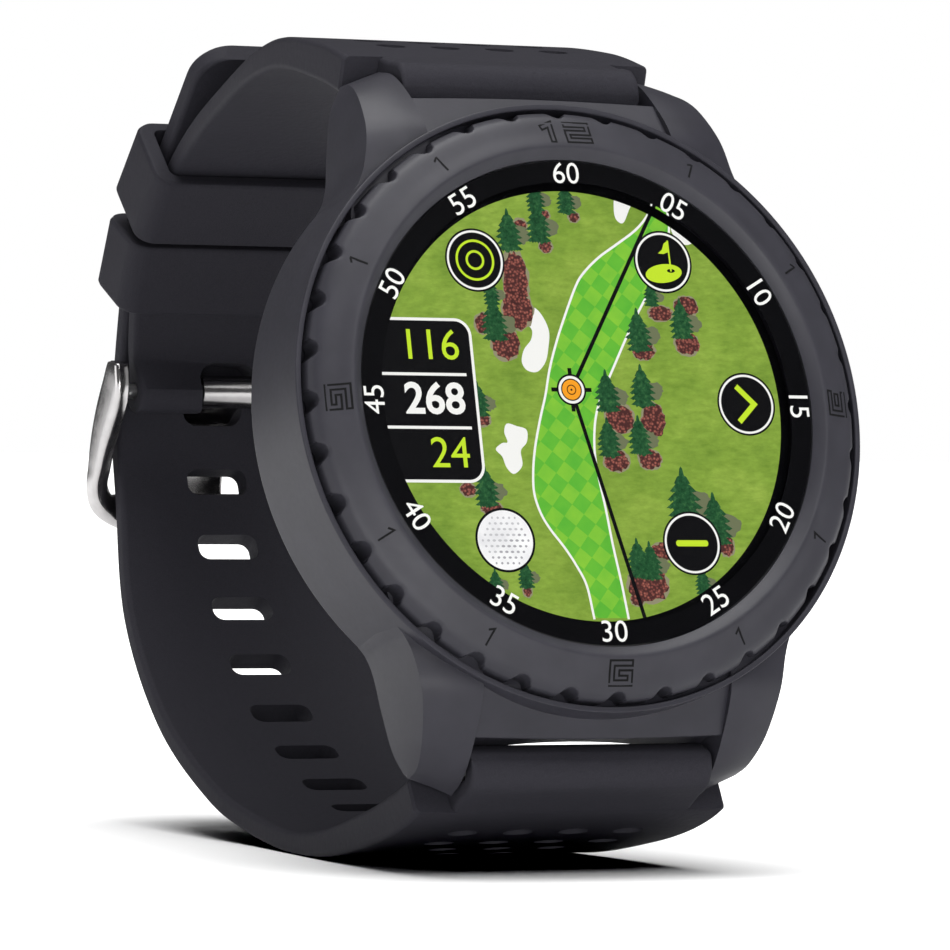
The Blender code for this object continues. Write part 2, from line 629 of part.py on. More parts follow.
def make_buckle():
    """Side arms and far bar swept as one U, so the frame is a single bent piece."""
    bd, bh = BUCKLE_BAR
    mid = (BUCKLE_INNER + BUCKLE_OUTER) / 2
    arm_w = BUCKLE_OUTER - BUCKLE_INNER
    # sideways, deeper, higher (from the bar), width across the sweep, thickness outwards, outward tilt
    arm = ((0.0, -1.0, 1.9, arm_w, 2.6, 28), (0.0, 0.1, 0.0, arm_w, 4.0, 28),
           (0.0, 2.0, -1.8, arm_w, 3.9, 26), (0.0, 3.7, -3.6, arm_w, 3.3, 22),
           (0.0, 5.1, -5.6, arm_w, 2.6, 12), (-0.1, 6.2, -7.3, 1.6, 2.0, 0),
           (-0.9, 6.8, -8.7, 2.2, 1.8, -10), (-3.0, 6.9, -9.3, 3.4, 1.6, -12))
    left = [(-mid - x, bd + d, bh + h, w, t, tilt) for x, d, h, w, t, tilt in arm]
    right = [(mid + x, bd + d, bh + h, w, t, tilt) for x, d, h, w, t, tilt in arm]
    line = left + right[::-1]
    sections = []
    for k, (x, d, h, wide, deep, tilt) in enumerate(line):
        a, b = line[max(k - 1, 0)], line[min(k + 1, len(line) - 1)]
        run = Vector((b[0] - a[0], b[2] - a[2], a[1] - b[1])).normalized()
        out = Vector((0.0, math.sin(math.radians(tilt)), -math.cos(math.radians(tilt))))
        out = (out - run * out.dot(run)).normalized()
        across = run.cross(out)
        at = Vector((x, h, -d))
        sections.append([at + across * (u * wide / 2) + out * (v * deep / 2) for u, v in EIGHT])
    frame = loft("buckle_frame", sections, (STEEL, 0.18, 1.0), origin=(0.0, bh, -bd))
    holes = [((s * (BUCKLE_INNER - 0.5), bh, -bd), (s * (BUCKLE_INNER + 1.3), bh, -bd), PIN_R + 0.06)
             for s in (-1, 1)]
    boolean(frame, rods("buckle_pin_holes", holes, cutter=True, segments=12))


# the tongue's centre line as (depth, height) from the bar
TONGUE_LINE = ((0.7, -0.3), (1.9, -0.3), (3.2, -0.4), (4.5, -0.7), (5.8, -1.5), (6.9, -3.0), (7.9, -5.0),
               (8.7, -7.0), (8.85, -8.4), (8.6, -10.3))


def make_tongue():
    """A flat steel strip that wraps the bar, passes out through the slot and rests on the far bar."""
    bd, bh = BUCKLE_BAR
    half = TONGUE_W / 2
    line = smooth_line([(bd + d, bh + h, half) for d, h in TONGUE_LINE], 3)
    sections = []
    for k, (d, h, w) in enumerate(line):
        a, b = line[max(k - 1, 0)], line[min(k + 1, len(line) - 1)]
        angle = math.atan2(b[1] - a[1], b[0] - a[0])
        n = Vector((0.0, math.cos(angle), math.sin(angle)))
        at = Vector((0.0, h, -d))
        t = TONGUE_THICK / 2
        sections.append([at + Vector((x, 0, 0)) + n * v for x, v in
                         ((-w, -t * 0.5), (-w + 0.2, -t), (w - 0.2, -t), (w, -t * 0.5),
                          (w, t * 0.5), (w - 0.2, t), (-w + 0.2, t), (-w, t * 0.5))])
    tongue = loft("buckle_tongue", sections, (STEEL, 0.2, 1.0), origin=(0.0, bh, -bd))
    boolean(tongue, rods("tongue_eye", (((-half, bh, -bd), (half, bh, -bd), 1.45),), cutter=True), "UNION")
    boolean(tongue, bar_hole("tongue_bore", bd, bh, 6.0, BUCKLE_BAR_R + 0.1))


def rounded_rectangle(half_w, half_h, radius, steps=4):
    pts = []
    for cx, cy, start in ((1, 1, 0), (-1, 1, 90), (-1, -1, 180), (1, -1, 270)):
        for k in range(steps + 1):
            a = math.radians(start + 90 * k / steps)
            pts.append((cx * (half_w - radius) + radius * math.cos(a),
                        cy * (half_h - radius) + radius * math.sin(a)))
    return pts


def make_keeper(name, s, tilt, stack, length):
    """A rectangular loop round both layers of strap, tilted to suit where they part."""
    lift = (stack - STRAP_THICK) / 2 - KEEPER_SLACK
    frame = UPPER.frame(s, lift) @ Matrix.Rotation(math.radians(tilt), 4, "X")
    outer = rounded_rectangle(KEEPER_HALF, stack / 2 + KEEPER_WALL, 1.8)
    inner = rounded_rectangle(KEEPER_INNER_HALF, stack / 2, 0.7)
    ends = [-length / 2, length / 2]
    keeper = loft(name, [[frame @ Vector((x, y, z)) for x, z in outer] for y in ends], (RUBBER, 0.7))
    rims = [[frame @ Vector((x, y * 1.5, z)) for x, z in inner] for y in ends]
    cutter = loft(f"{name}_opening", rims, cutter=True)
    boolean(keeper, cutter)


# ---------------------------------------------------------------- build
make_mid_case()
make_case_back()
make_contacts()
make_bezel()
make_glass_and_display()
make_electronics()
make_button()
make_upper_strap()
make_lower_strap()
make_spring_bar("upper", BAR_DEPTH, BAR_HEIGHT, STRAP_TONGUE_W / 2, BAR_R)
make_spring_bar("lower", BAR_DEPTH, -BAR_HEIGHT, STRAP_TONGUE_W / 2, BAR_R)
make_spring_bar("buckle", *BUCKLE_BAR, BUCKLE_INNER - 0.3, BUCKLE_BAR_R)
make_buckle()
make_tongue()
make_keeper("keeper_front", UPPER.total - 19.15, -3.0, 5.9, KEEPER_FRONT_LENGTH)
make_keeper("keeper_rear", UPPER.total - 11.2, 0.0, 5.3, KEEPER_REAR_LENGTH)


def stand_on_floor():
    """Move the empty so that the watch's box stands centred on the origin."""
    bpy.context.view_layer.update()
    graph = bpy.context.evaluated_depsgraph_get()
    low, high = [math.inf] * 3, [-math.inf] * 3
    for obj in PARTS.objects:
        if obj.type == "EMPTY":
            continue
        shape = obj.evaluated_get(graph)
        mesh = shape.to_mesh()
        for vert in mesh.vertices:
            point = shape.matrix_world @ vert.co
            for axis in range(3):
                low[axis] = min(low[axis], point[axis])
                high[axis] = max(high[axis], point[axis])
        shape.to_mesh_clear()
    WATCH.location = (-(low[0] + high[0]) / 2, -(low[1] + high[1]) / 2, -low[2])


stand_on_floor()
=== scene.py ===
"""Golf GPS watch, dressed over its CAD frame.

Pieces are drawn in the dial's own frame (x to 3 o'clock, y to 12 o'clock, z out of the glass) in
millimetres, and DIAL, which comes from the bezel's joint, carries them to the row frame in metres.
"""
import json
import math
import random

import bmesh
import bpy
from mathutils import Matrix, Vector


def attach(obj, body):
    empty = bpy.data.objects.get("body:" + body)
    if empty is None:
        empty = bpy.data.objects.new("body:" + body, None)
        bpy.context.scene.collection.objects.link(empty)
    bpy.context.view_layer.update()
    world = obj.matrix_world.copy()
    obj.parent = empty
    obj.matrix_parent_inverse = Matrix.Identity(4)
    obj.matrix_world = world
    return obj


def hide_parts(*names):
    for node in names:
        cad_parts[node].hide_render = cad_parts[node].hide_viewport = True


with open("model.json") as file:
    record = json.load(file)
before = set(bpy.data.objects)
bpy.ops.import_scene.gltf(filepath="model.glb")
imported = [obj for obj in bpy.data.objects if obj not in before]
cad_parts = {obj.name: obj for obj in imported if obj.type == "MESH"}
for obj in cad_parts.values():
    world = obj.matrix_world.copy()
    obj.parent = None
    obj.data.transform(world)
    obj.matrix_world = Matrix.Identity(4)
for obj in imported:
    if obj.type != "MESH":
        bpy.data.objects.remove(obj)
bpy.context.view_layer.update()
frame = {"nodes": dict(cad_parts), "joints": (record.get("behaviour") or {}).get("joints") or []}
MM = 0.001
TO_MM = (1000.0, 1000.0, 1000.0)     # texture coordinates in metres to millimetres
UNSCALED = (1.0, 1.0, 1.0)

# ---------------------------------------------------------------- the dial's frame, from the CAD
JOINTS = {j["name"]: j for j in frame["joints"]}
TURN = JOINTS["bezel_turn"]
PIVOT_DEPTH = 2.0           # the bezel joint's point lies this deep on the dial's axis


def dial_matrix():
    z = Vector(TURN["axis"]).normalized()
    x = Vector((1.0, 0.0, 0.0))
    y = z.cross(x)
    at = Vector(TURN["pos_m"]) + z * PIVOT_DEPTH * MM
    turn = Matrix((x, y, z)).transposed().to_4x4()
    return Matrix.Translation(at) @ turn @ Matrix.Scale(MM, 4)


DIAL = dial_matrix()

# ---------------------------------------------------------------- sizes, millimetres, as in the CAD
DISPLAY_R, GLASS_R = 17.7, 19.9
BEZEL_R, BEZEL_BORE, BEZEL_BACK = 24.2, 20.85, 3.3
NOTCHES, NOTCH_R, NOTCH_OUT = 36, 0.85, 0.2
CASE_R, RIM_WALL, RIM_FRONT, DECK = 25.05, 0.5, 1.6, 3.9
CAVITY_R, CAVITY_FRONT, WALL_BACK, CASE_BACK = 20.8, 4.9, 10.4, 12.7
LUG_X, LUG_GAP = 16.5, 22.0
BAR_DEPTH, BAR_HEIGHT, PIN_R = 8.4, 28.3, 0.42
BUTTON_DEPTH, BUTTON_R, BUTTON_PROUD = 7.3, 2.0, 1.0
SPRING_SEAT_R, SPRING_SEAT_END = 1.65, 24.95
STRAP_TONGUE_W, STRAP_BARREL_R, STRAP_THICK_LUG, STRAP_THICK = 21.4, 2.1, 3.2, 1.9
BAR_HOLE_R = 0.83
SLOT_W, SLOT_H, SLOT_PITCH, TONGUE_SLOT_H = 5.7, 2.4, 6.4, 3.4
BUCKLE_BAR, BUCKLE_BAR_HOLE, BUCKLE_BARREL_R = (69.6, 18.8), 0.73, 1.95
BUCKLE_INNER, BUCKLE_OUTER = 9.8, 11.3
TONGUE_W, TONGUE_THICK = 5.2, 0.9
KEEPER_WALL, KEEPER_HALF, KEEPER_INNER_HALF, KEEPER_SLACK = 1.2, 10.9, 9.4, 0.75
PILLAR_AT, SCREW_HEAD_R = 19.4, 0.95
FINE = 360


# ---------------------------------------------------------------- materials
FINE_RELIEF = 0.00001       # depth of plastic grain and drawn lines, metres
MOTTLED = 0.10              # share by which plastic goes lighter and darker


class Net:
    """The node tree of a material or world, with the nodes used here."""

    def __init__(self, tree):
        self.nodes, self.links = tree.nodes, tree.links
        self.shader = tree.nodes.get("Principled BSDF")

    def node(self, kind, **inputs):
        """A new node with its inputs set; an underscore stands for a space."""
        made = self.nodes.new(f"ShaderNode{kind}")
        for name, value in inputs.items():
            made.inputs[name.replace("_", " ")].default_value = value
        return made

    def drive(self, source, name):
        self.links.new(source, self.shader.inputs[name])

    def coords(self, kind="Object", scale=TO_MM):
        """Texture coordinates in millimetres."""
        source = self.node("TexCoord")
        mapping = self.node("Mapping", Scale=scale)
        self.links.new(source.outputs[kind], mapping.inputs["Vector"])
        return mapping.outputs["Vector"]

    def noise(self, where, scale, detail=4.0, rough=0.55):
        tex = self.node("TexNoise", Scale=scale, Detail=detail, Roughness=rough)
        self.links.new(where, tex.inputs["Vector"])
        return tex.outputs["Fac"]

    def voronoi(self, where, scale, feature="F1"):
        tex = self.node("TexVoronoi")
        tex.feature = feature
        tex.inputs["Scale"].default_value = scale
        self.links.new(where, tex.inputs["Vector"])
        return tex.outputs["Distance"]

    def ramp(self, value, *stops):
        node = self.node("ValToRGB")
        bar = node.color_ramp
        while len(bar.elements) < len(stops):
            bar.elements.new(0.5)
        for element, (at, colour) in zip(bar.elements, stops):
            element.position = at
            element.color = (*colour, 1.0)
        self.links.new(value, node.inputs["Fac"])
        return node.outputs["Color"]

    def bump(self, height, strength, distance):
        node = self.node("Bump", Strength=strength, Distance=distance)
        self.links.new(height, node.inputs["Height"])
        self.drive(node.outputs["Normal"], "Normal")

    def spread(self, value, low, high):
        """A value from 0 to 1, carried to low to high."""
        node = self.node("MapRange", To_Min=low, To_Max=high)
        self.links.new(value, node.inputs["Value"])
        return node.outputs["Result"]

    def multiplied(self, base, tint):
        mix = self.node("Mix")
        mix.data_type = "RGBA"
        mix.blend_type = "MULTIPLY"
        mix.inputs["Factor"].default_value = 1.0
        self.links.new(base, mix.inputs["A"])
        self.links.new(tint, mix.inputs["B"])
        return mix.outputs["Result"]


def new_material(name, base, rough, metallic=0.0, shine=0.5):
    mat = bpy.data.materials.new(name)
    mat.use_nodes = True
    net = Net(mat.node_tree)
    inputs = net.shader.inputs
    inputs["Base Color"].default_value = (*base, 1.0)
    inputs["Roughness"].default_value = rough
    inputs["Metallic"].default_value = metallic
    inputs["Specular IOR Level"].default_value = shine
    return mat, net


def shade_range(base, low, high):
    return tuple(c * low for c in base), tuple(c * high for c in base)


def grained(name, base, rough, grain=14.0, shine=0.5):
    """Moulded plastic: soft colour mottling, fine grain and uneven gloss."""
    mat, net = new_material(name, base, rough, shine=shine)
    where = net.coords()
    soft = net.noise(where, 0.35, 3.0)
    dark, light = shade_range(base, 1.0 - MOTTLED, 1.0 + MOTTLED)
    net.drive(net.ramp(soft, (0.3, dark), (0.7, light)), "Base Color")
    fine = net.noise(where, grain, 2.0)
    net.drive(net.spread(net.noise(where, 2.2, 4.0), rough - 0.05, rough + 0.06), "Roughness")
    net.bump(fine, 0.25, FINE_RELIEF)
    return mat


def steel(name, base, rough, brushed=TO_MM):
    """Steel with fine drawn lines; `brushed` gives their stretch."""
    mat, net = new_material(name, base, rough, metallic=1.0)
    lines = net.noise(net.coords(scale=brushed), 1.4, 5.0, 0.6)
    net.drive(net.spread(lines, max(0.02, rough - 0.07), rough + 0.10), "Roughness")
    dark, light = shade_range(base, 0.86, 1.06)
    net.drive(net.ramp(lines, (0.25, dark), (0.75, light)), "Base Color")
    net.bump(lines, 0.10, FINE_RELIEF)
    return mat


def silicone(name, base, grain):
    """Strap rubber: pebbles and a fine matt grain; `grain` is the pebbles' share of the relief."""
    mat, net = new_material(name, base, 0.62, shine=0.06)
    where = net.coords()
    pebbles = net.voronoi(where, 1.9, "SMOOTH_F1")
    fine = net.noise(where, 9.0, 5.0, 0.65)
    relief = net.node("Math")
    relief.operation = "MULTIPLY_ADD"
    net.links.new(pebbles, relief.inputs[0])
    relief.inputs[1].default_value = grain
    net.links.new(fine, relief.inputs[2])
    dark, light = shade_range(base, 0.80, 1.30)
    net.drive(net.ramp(fine, (0.30, dark), (0.72, light)), "Base Color")
    net.drive(net.spread(fine, 0.52, 0.74), "Roughness")
    net.bump(relief.outputs["Value"], 0.55, 0.00006)
    return mat


def lit(name, colour, strength=1.0, texture=None):
    """A lit patch of the display: the colour glows, with a faint glossy surface under the glass."""
    mat, net = new_material(name, tuple(c * 0.05 for c in colour), 0.4, shine=0.05)
    net.shader.inputs["Emission Color"].default_value = (*colour, 1.0)
    net.shader.inputs["Emission Strength"].default_value = strength
    if texture:
        net.drive(texture(net), "Emission Color")
    return mat


def grass_texture(net):
    where = net.coords()
    streaks = net.coords(scale=(500.0, 2600.0, 1200.0))
    patches = net.noise(where, 0.28, 5.0, 0.6)
    blades = net.noise(streaks, 1.6, 6.0, 0.7)
    base = net.ramp(patches, (0.28, (0.175, 0.300, 0.040)), (0.50, (0.235, 0.375, 0.052)),
                    (0.74, (0.300, 0.440, 0.070)))
    fleck = net.ramp(blades, (0.30, (0.72, 0.76, 0.66)), (0.70, (1.18, 1.14, 1.20)))
    return net.multiplied(base, fleck)


def fairway_texture(net):
    """Mown checks, run diagonally across the fairway: the UVs are the display's x and y in millimetres."""
    where = net.coords("UV", UNSCALED)
    turn = net.node("Mapping", Rotation=(0.0, 0.0, math.radians(40)))
    net.links.new(where, turn.inputs["Vector"])
    checks = net.node("TexChecker", Scale=0.80, Color1=(0.115, 0.475, 0.045, 1.0),
                      Color2=(0.205, 0.550, 0.050, 1.0))
    net.links.new(turn.outputs["Vector"], checks.inputs["Vector"])
    soft = net.noise(where, 0.45, 3.0)
    tint = net.ramp(soft, (0.32, (0.90, 0.95, 0.85)), (0.70, (1.30, 1.08, 0.90)))
    return net.multiplied(checks.outputs["Color"], tint)


def mulch_texture(net):
    return net.ramp(net.voronoi(net.coords(), 4.2), (0.05, (0.46, 0.17, 0.12)),
                    (0.32, (0.24, 0.075, 0.06)), (0.60, (0.05, 0.02, 0.02)))


def leaf_texture(net):
    return net.ramp(net.noise(net.coords(), 3.0, 4.0, 0.7), (0.30, (0.006, 0.035, 0.014)),
                    (0.55, (0.020, 0.095, 0.035)), (0.75, (0.070, 0.200, 0.060)))


def ball_texture(net):
    tone = net.noise(net.coords("UV", UNSCALED), 0.5, 2.0)
    return net.ramp(tone, (0.3, (0.80, 0.80, 0.82)), (0.7, (1.0, 1.0, 1.0)))


# ---------------------------------------------------------------- making pieces
SMOOTH_EDGE = 32            # edges of a cut mesh sharper than this many degrees stay sharp


def circle(steps):
    return [math.tau * k / steps for k in range(steps)]


def placed(name, data):
    """A new object in the scene."""
    obj = bpy.data.objects.new(name, data)
    bpy.context.scene.collection.objects.link(obj)
    return obj


def evaluated(obj, **options):
    """The mesh of an object with its modifiers applied."""
    bpy.context.view_layer.update()
    graph = bpy.context.evaluated_depsgraph_get()
    if options:
        options["depsgraph"] = graph
    return bpy.data.meshes.new_from_object(obj.evaluated_get(graph), **options)


def finish_mesh(name, bm, sharp=35.0):
    bmesh.ops.recalc_face_normals(bm, faces=bm.faces)
    if bm.calc_volume(signed=True) < 0.0:
        bmesh.ops.reverse_faces(bm, faces=bm.faces)
    mesh = bpy.data.meshes.new(name)
    bm.to_mesh(mesh)
    bm.free()
    mesh.shade_smooth()
    mesh.set_sharp_from_angle(angle=math.radians(sharp))
    return mesh


def piece(name, mesh, mat, body="case", stands_for=()):
    """Place a mesh given in dial millimetres, let it ride on its body, and say what it stands for."""
    mesh.transform(DIAL)
    obj = placed(name, mesh)
    mesh.materials.clear()
    mesh.materials.append(mat)
    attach(obj, body)
    if stands_for:
        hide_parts(*stands_for)


def applied(mesh, cutters=(), joins=(), bevel=None, angle=40.0, segments=2):
    """Cut, join and bevel a mesh in dial millimetres, and return the result."""
    base = placed("work", mesh)
    tools = []
    for operation, shapes in (("UNION", joins), ("DIFFERENCE", cutters)):
        for shape in shapes:
            tools.append(placed("tool", shape))
            mod = base.modifiers.new("cut", "BOOLEAN")
            mod.operation = operation
            mod.solver = "EXACT"
            mod.object = tools[-1]
    if bevel:
        mod = base.modifiers.new("bevel", "BEVEL")
        mod.width = bevel
        mod.segments = segments
        mod.limit_method = "ANGLE"
        mod.angle_limit = math.radians(angle)
        mod.use_clamp_overlap = True
    result = evaluated(base)
    for obj in (base, *tools):
        bpy.data.objects.remove(obj, do_unlink=True)
    result.shade_smooth()
    result.set_sharp_from_angle(angle=math.radians(SMOOTH_EDGE))
    smooth = placed("work", result)
    smooth.modifiers.new("normals", "WEIGHTED_NORMAL").keep_sharp = True
    mesh = evaluated(smooth, preserve_all_data_layers=True)
    bpy.data.objects.remove(smooth, do_unlink=True)
    return mesh


def turned(profile, steps=FINE):
    """A closed ring or disc about the dial's axis from (radius, depth) points."""
    bm = bmesh.new()
    rows = []
    for r, d in profile:
        turns = circle(steps) if r else [0.0]
        rows.append([bm.verts.new((r * math.cos(a), r * math.sin(a), -d)) for a in turns])
    pairs = list(zip(rows, rows[1:]))
    if profile[0][0] > 0.0:
        pairs.append((rows[-1], rows[0]))
    for a, b in pairs:
        for k in range(steps):
            n = (k + 1) % steps
            corners = [a[k % len(a)], a[n % len(a)], b[n % len(b)], b[k % len(b)]]
            bm.faces.new(list(dict.fromkeys(corners)))
    return finish_mesh("turned", bm)


def rounded(profile, radius, steps=4):
    """Round the corners of a closed (radius, depth) profile; points keep their order."""
    out = []
    count = len(profile)
    for i, point in enumerate(profile):
        p = Vector(point)
        a = Vector(profile[i - 1]) - p
        b = Vector(profile[(i + 1) % count]) - p
        cut = min(radius, a.length * 0.45, b.length * 0.45)
        if p.x == 0.0 or cut < 0.01:
            out.append(tuple(point))
            continue
        start, end = p + a.normalized() * cut, p + b.normalized() * cut
        for k in range(steps + 1):
            t = k / steps
            out.append(tuple(start * (1 - t) ** 2 + p * 2 * t * (1 - t) + end * t * t))
    return out


def rod(start, end, radius, segments=48):
    bm = bmesh.new()
    a, b = Vector(start), Vector(end)
    turn = (b - a).to_track_quat("Z", "Y").to_matrix().to_4x4()
    bmesh.ops.create_cone(bm, cap_ends=True, segments=segments, radius1=radius, radius2=radius,
                          depth=(b - a).length, matrix=Matrix.Translation((a + b) / 2) @ turn)
    return finish_mesh("rod", bm)


def merged(meshes):
    """Several separate meshes as one."""
    bm = bmesh.new()
    for mesh in meshes:
        bm.from_mesh(mesh)
        bpy.data.meshes.remove(mesh)
    return finish_mesh("merged", bm)


def loft(sections, closed=False, name="loft", sharp=35.0):
    """A skin over closed sections, with flat ends unless the last section joins the first."""
    bm = bmesh.new()
    rings = [[bm.verts.new(p) for p in section] for section in sections]
    for a, b in list(zip(rings, rings[1:])) + ([(rings[-1], rings[0])] if closed else []):
        for i in range(len(a)):
            j = (i + 1) % len(a)
            bm.faces.new((a[i], a[j], b[j], b[i]))
    if not closed:
        bm.faces.new(rings[0])
        bm.faces.new(rings[-1])
    return finish_mesh(name, bm, sharp)


def arc(x, y, radius, start, steps):
    """A quarter circle from a start angle in degrees."""
    angles = [math.radians(start + 90 * k / steps) for k in range(steps + 1)]
    return [(x + radius * math.cos(a), y + radius * math.sin(a)) for a in angles]


def rounded_rectangle(half_w, half_h, radius, steps=8):
    corners = ((1, 1, 0), (-1, 1, 90), (-1, -1, 180), (1, -1, 270))
    return [p for x, y, start in corners
            for p in arc(x * (half_w - radius), y * (half_h - radius), radius, start, steps)]


def soft_box(at, across, out, half_w, half_t, powers, steps):
    """A box section with soft corners: the lower a power, the squarer that side."""
    ring = []
    for a in circle(steps):
        u, v = [math.copysign(abs(c) ** p, c) for c, p in zip((math.cos(a), math.sin(a)), powers)]
        ring.append(at + across * (u * half_w) + out * (v * half_t))
    return ring


def curve_through(points, per_span=8):
    """Catmull-Rom curve through tuples of any length."""
    first = tuple(2 * a - b for a, b in zip(points[0], points[1]))
    last = tuple(2 * a - b for a, b in zip(points[-1], points[-2]))
    chain = (first, *points, last)
    out = []
    for i in range(1, len(chain) - 2):
        for k in range(per_span):
            t = k / per_span
            out.append(tuple(
                0.5 * (2 * b + (c - a) * t + (2 * a - 5 * b + 4 * c - d) * t * t
                       + (3 * b - a - 3 * c + d) * t ** 3)
                for a, b, c, d in zip(*chain[i - 1:i + 3])))
    out.append(tuple(points[-1]))
    return out


# ---------------------------------------------------------------- shared materials
CHARCOAL = (0.0235, 0.0230, 0.0288)
MATS = {
    "case": grained("case_charcoal", (0.0200, 0.0194, 0.0252), 0.42, shine=0.18),
    "bezel": grained("bezel_charcoal", CHARCOAL, 0.42, shine=0.18),
    # bezel marks: dark strips painting the shade inside the engraved grooves
    "groove_shade": grained("bezel_groove_painted_shade", (0.006, 0.006, 0.0065), 0.6, shine=0.05),
    "back": grained("case_back_black", (0.018, 0.018, 0.020), 0.45),
    "button": grained("button_charcoal", (0.034, 0.034, 0.038), 0.36),
    "strap": silicone("strap_silicone", (0.0195, 0.0189, 0.0238), 0.8),
    "keeper": silicone("keeper_silicone", (0.0180, 0.0174, 0.0220), 0.4),
    "buckle": steel("buckle_polished_steel", (0.40, 0.39, 0.39), 0.17),
    "bar": steel("bar_steel", (0.52, 0.52, 0.52), 0.30, (300.0, 4000.0, 4000.0)),
    "screw": steel("screw_steel", (0.40, 0.40, 0.41), 0.34),
}


# ---------------------------------------------------------------- case
def pillar_places():
    at = PILLAR_AT / math.sqrt(2)
    return [(sx * at, sy * at) for sx in (-1, 1) for sy in (-1, 1)]


# rows towards the tip: inner height and depth, outer height and depth, outer side's inset front and back
LUG_ROWS = (
    (14.0, 2.3, 14.0, 2.9, -1.9, -1.9), (17.2, 2.2, 17.2, 2.9, -1.4, -1.4),
    (18.6, 2.2, 18.6, 2.9, -0.6, -0.6),
    (20.2, 2.2, 20.2, 2.9, 0.0, -0.1), (23.2, 2.5, 23.0, 3.3, 0.6, 0.3), (26.6, 5.0, 26.2, 5.4, 1.2, 0.9),
    (28.9, 7.5, 28.0, 7.8, 1.7, 1.7), (29.9, 10.0, 28.5, 9.9, 1.9, 1.9),
)
LUG_TIP_BACK = (29.4, 28.1)
LUG_CROWN = 0.22


def lug_mesh(sx, sy):
    """One lug, lofted row by row from inside the ring to its tip, its front face faintly crowned."""
    sections = []
    for h_in, d_in, h_out, d_out, front, back in curve_through(LUG_ROWS, 5):
        inner, outer = LUG_GAP / 2, LUG_X - front
        section = []
        for k in range(7):
            t = k / 6
            lift = LUG_CROWN * math.sin(math.pi * t)
            depth = d_in + (d_out - d_in) * t
            section.append((inner + (outer - inner) * t, h_in + (h_out - h_in) * t, lift - depth))
        far = (LUG_X - back, min(h_out, LUG_TIP_BACK[1]), -WALL_BACK)
        near = (inner, min(h_in, LUG_TIP_BACK[0]), -WALL_BACK)
        last = section[-1]
        section.append(tuple((a + b) / 2 + c for a, b, c in zip(last, far, (0.12, 0.0, 0.0))))
        section += [far, near]
        sections.append([(sx * x, sy * y, z) for x, y, z in section])
    return applied(loft(sections), bevel=0.32, angle=34, segments=4)


def bridge_mesh(sy):
    """The sloping facet between two lugs, gently arched."""
    bridge = ((14.0, 3.0), (22.6, 2.7), (26.3, 5.0), (25.6, 6.2), (25.3, WALL_BACK), (14.0, WALL_BACK))
    sections = []
    for k in range(13):
        x = -11.3 + 22.6 * k / 12
        arch = 0.22 * math.cos(x / 11.3 * math.pi / 2)
        droop = 0.25 + 1.0 * abs(x / 11.3) ** 2
        sections.append([(x, sy * (h + (arch if h > 25.5 else droop if h > 25 else 0.0)), -d)
                         for h, d in bridge])
    return applied(loft(sections), bevel=0.22, angle=30, segments=3)


def make_case():
    ring = turned(rounded((
        (CASE_R, RIM_FRONT), (CASE_R, WALL_BACK), (CASE_R - 0.9, WALL_BACK + 0.8), (22.5, WALL_BACK + 0.8),
        (22.5, 10.05), (CAVITY_R, 10.05), (CAVITY_R, CAVITY_FRONT), (19.0, CAVITY_FRONT), (19.0, 1.75),
        (20.0, 1.75), (20.0, 1.0), (20.6, 1.0), (20.6, DECK), (CASE_R - RIM_WALL, DECK),
        (CASE_R - RIM_WALL, RIM_FRONT)), 0.16, 3))
    pocket = rod((22.4, 0.0, -BUTTON_DEPTH), (27.0, 0.0, -BUTTON_DEPTH), BUTTON_R + 0.25)
    stem = rod((19.0, 0.0, -BUTTON_DEPTH), (23.0, 0.0, -BUTTON_DEPTH), 1.3)
    piece("case_ring", applied(ring, [pocket, stem], bevel=0.1, angle=50), MATS["case"],
          stands_for=("mid_case",))
    for sx, side in ((-1, "left"), (1, "right")):
        for sy, end in ((-1, "lower"), (1, "upper")):
            piece(f"case_lug_{end}_{side}", lug_mesh(sx, sy), MATS["case"])
    for sy, end in ((-1, "lower"), (1, "upper")):
        piece(f"case_bridge_{end}", bridge_mesh(sy), MATS["case"])


def make_case_back():
    disc = turned(rounded((
        (0.0, 10.45), (22.3, 10.45), (22.3, 11.25), (21.4, 11.6), (16.8, 11.9), (15.4, CASE_BACK),
        (0.0, CASE_BACK)), 0.3), 240)
    cutters = [rod((x, y, -10.0), (x, y, -13.0), SCREW_HEAD_R + 0.1) for x, y in pillar_places()]
    cutters += [rod((x, -8.0, -10.0), (x, -8.0, -13.5), 0.86) for x in (-4.5, -1.5, 1.5, 4.5)]
    cover = applied(disc, [merged(cutters)], bevel=0.06, angle=50)
    piece("case_back_cover", cover, MATS["back"], stands_for=("case_back",))


def make_screw_heads():
    """Cross-recessed heads for the four case screws."""
    for number, (x, y) in enumerate(pillar_places(), 1):
        head = rod((x, y, -11.05), (x, y, -11.6), SCREW_HEAD_R)
        shank = rod((x, y, -7.2), (x, y, -11.1), 0.46, 24)
        cross = []
        for turn in (0.4, 0.4 + math.pi / 2):
            bm = bmesh.new()
            bmesh.ops.create_cube(bm, size=1.0, matrix=Matrix.Translation((x, y, -11.6))
                                  @ Matrix.Rotation(turn, 4, "Z") @ Matrix.Diagonal((1.2, 0.24, 0.6, 1.0)))
            cross.append(finish_mesh("slot", bm))
        shape = applied(head, cross, [shank], bevel=0.05, angle=50)
        piece(f"case_screw_head_{number}", shape, MATS["screw"],
              stands_for=(f"case_back_screw_{number}",))


# ---------------------------------------------------------------- bezel
BEZEL_TOP = ((20.0, 0.35), (20.75, -0.40), (21.1, -0.42), (22.1, 0.0), (23.5, 0.55), (24.05, 1.2),
             (24.2, 1.6))


def bezel_depth(r):
    """Depth of the bezel's top face at a radius."""
    for (r0, d0), (r1, d1) in zip(BEZEL_TOP, BEZEL_TOP[1:]):
        if r <= r1:
            return d0 + (d1 - d0) * (r - r0) / (r1 - r0)
    return BEZEL_TOP[-1][1]


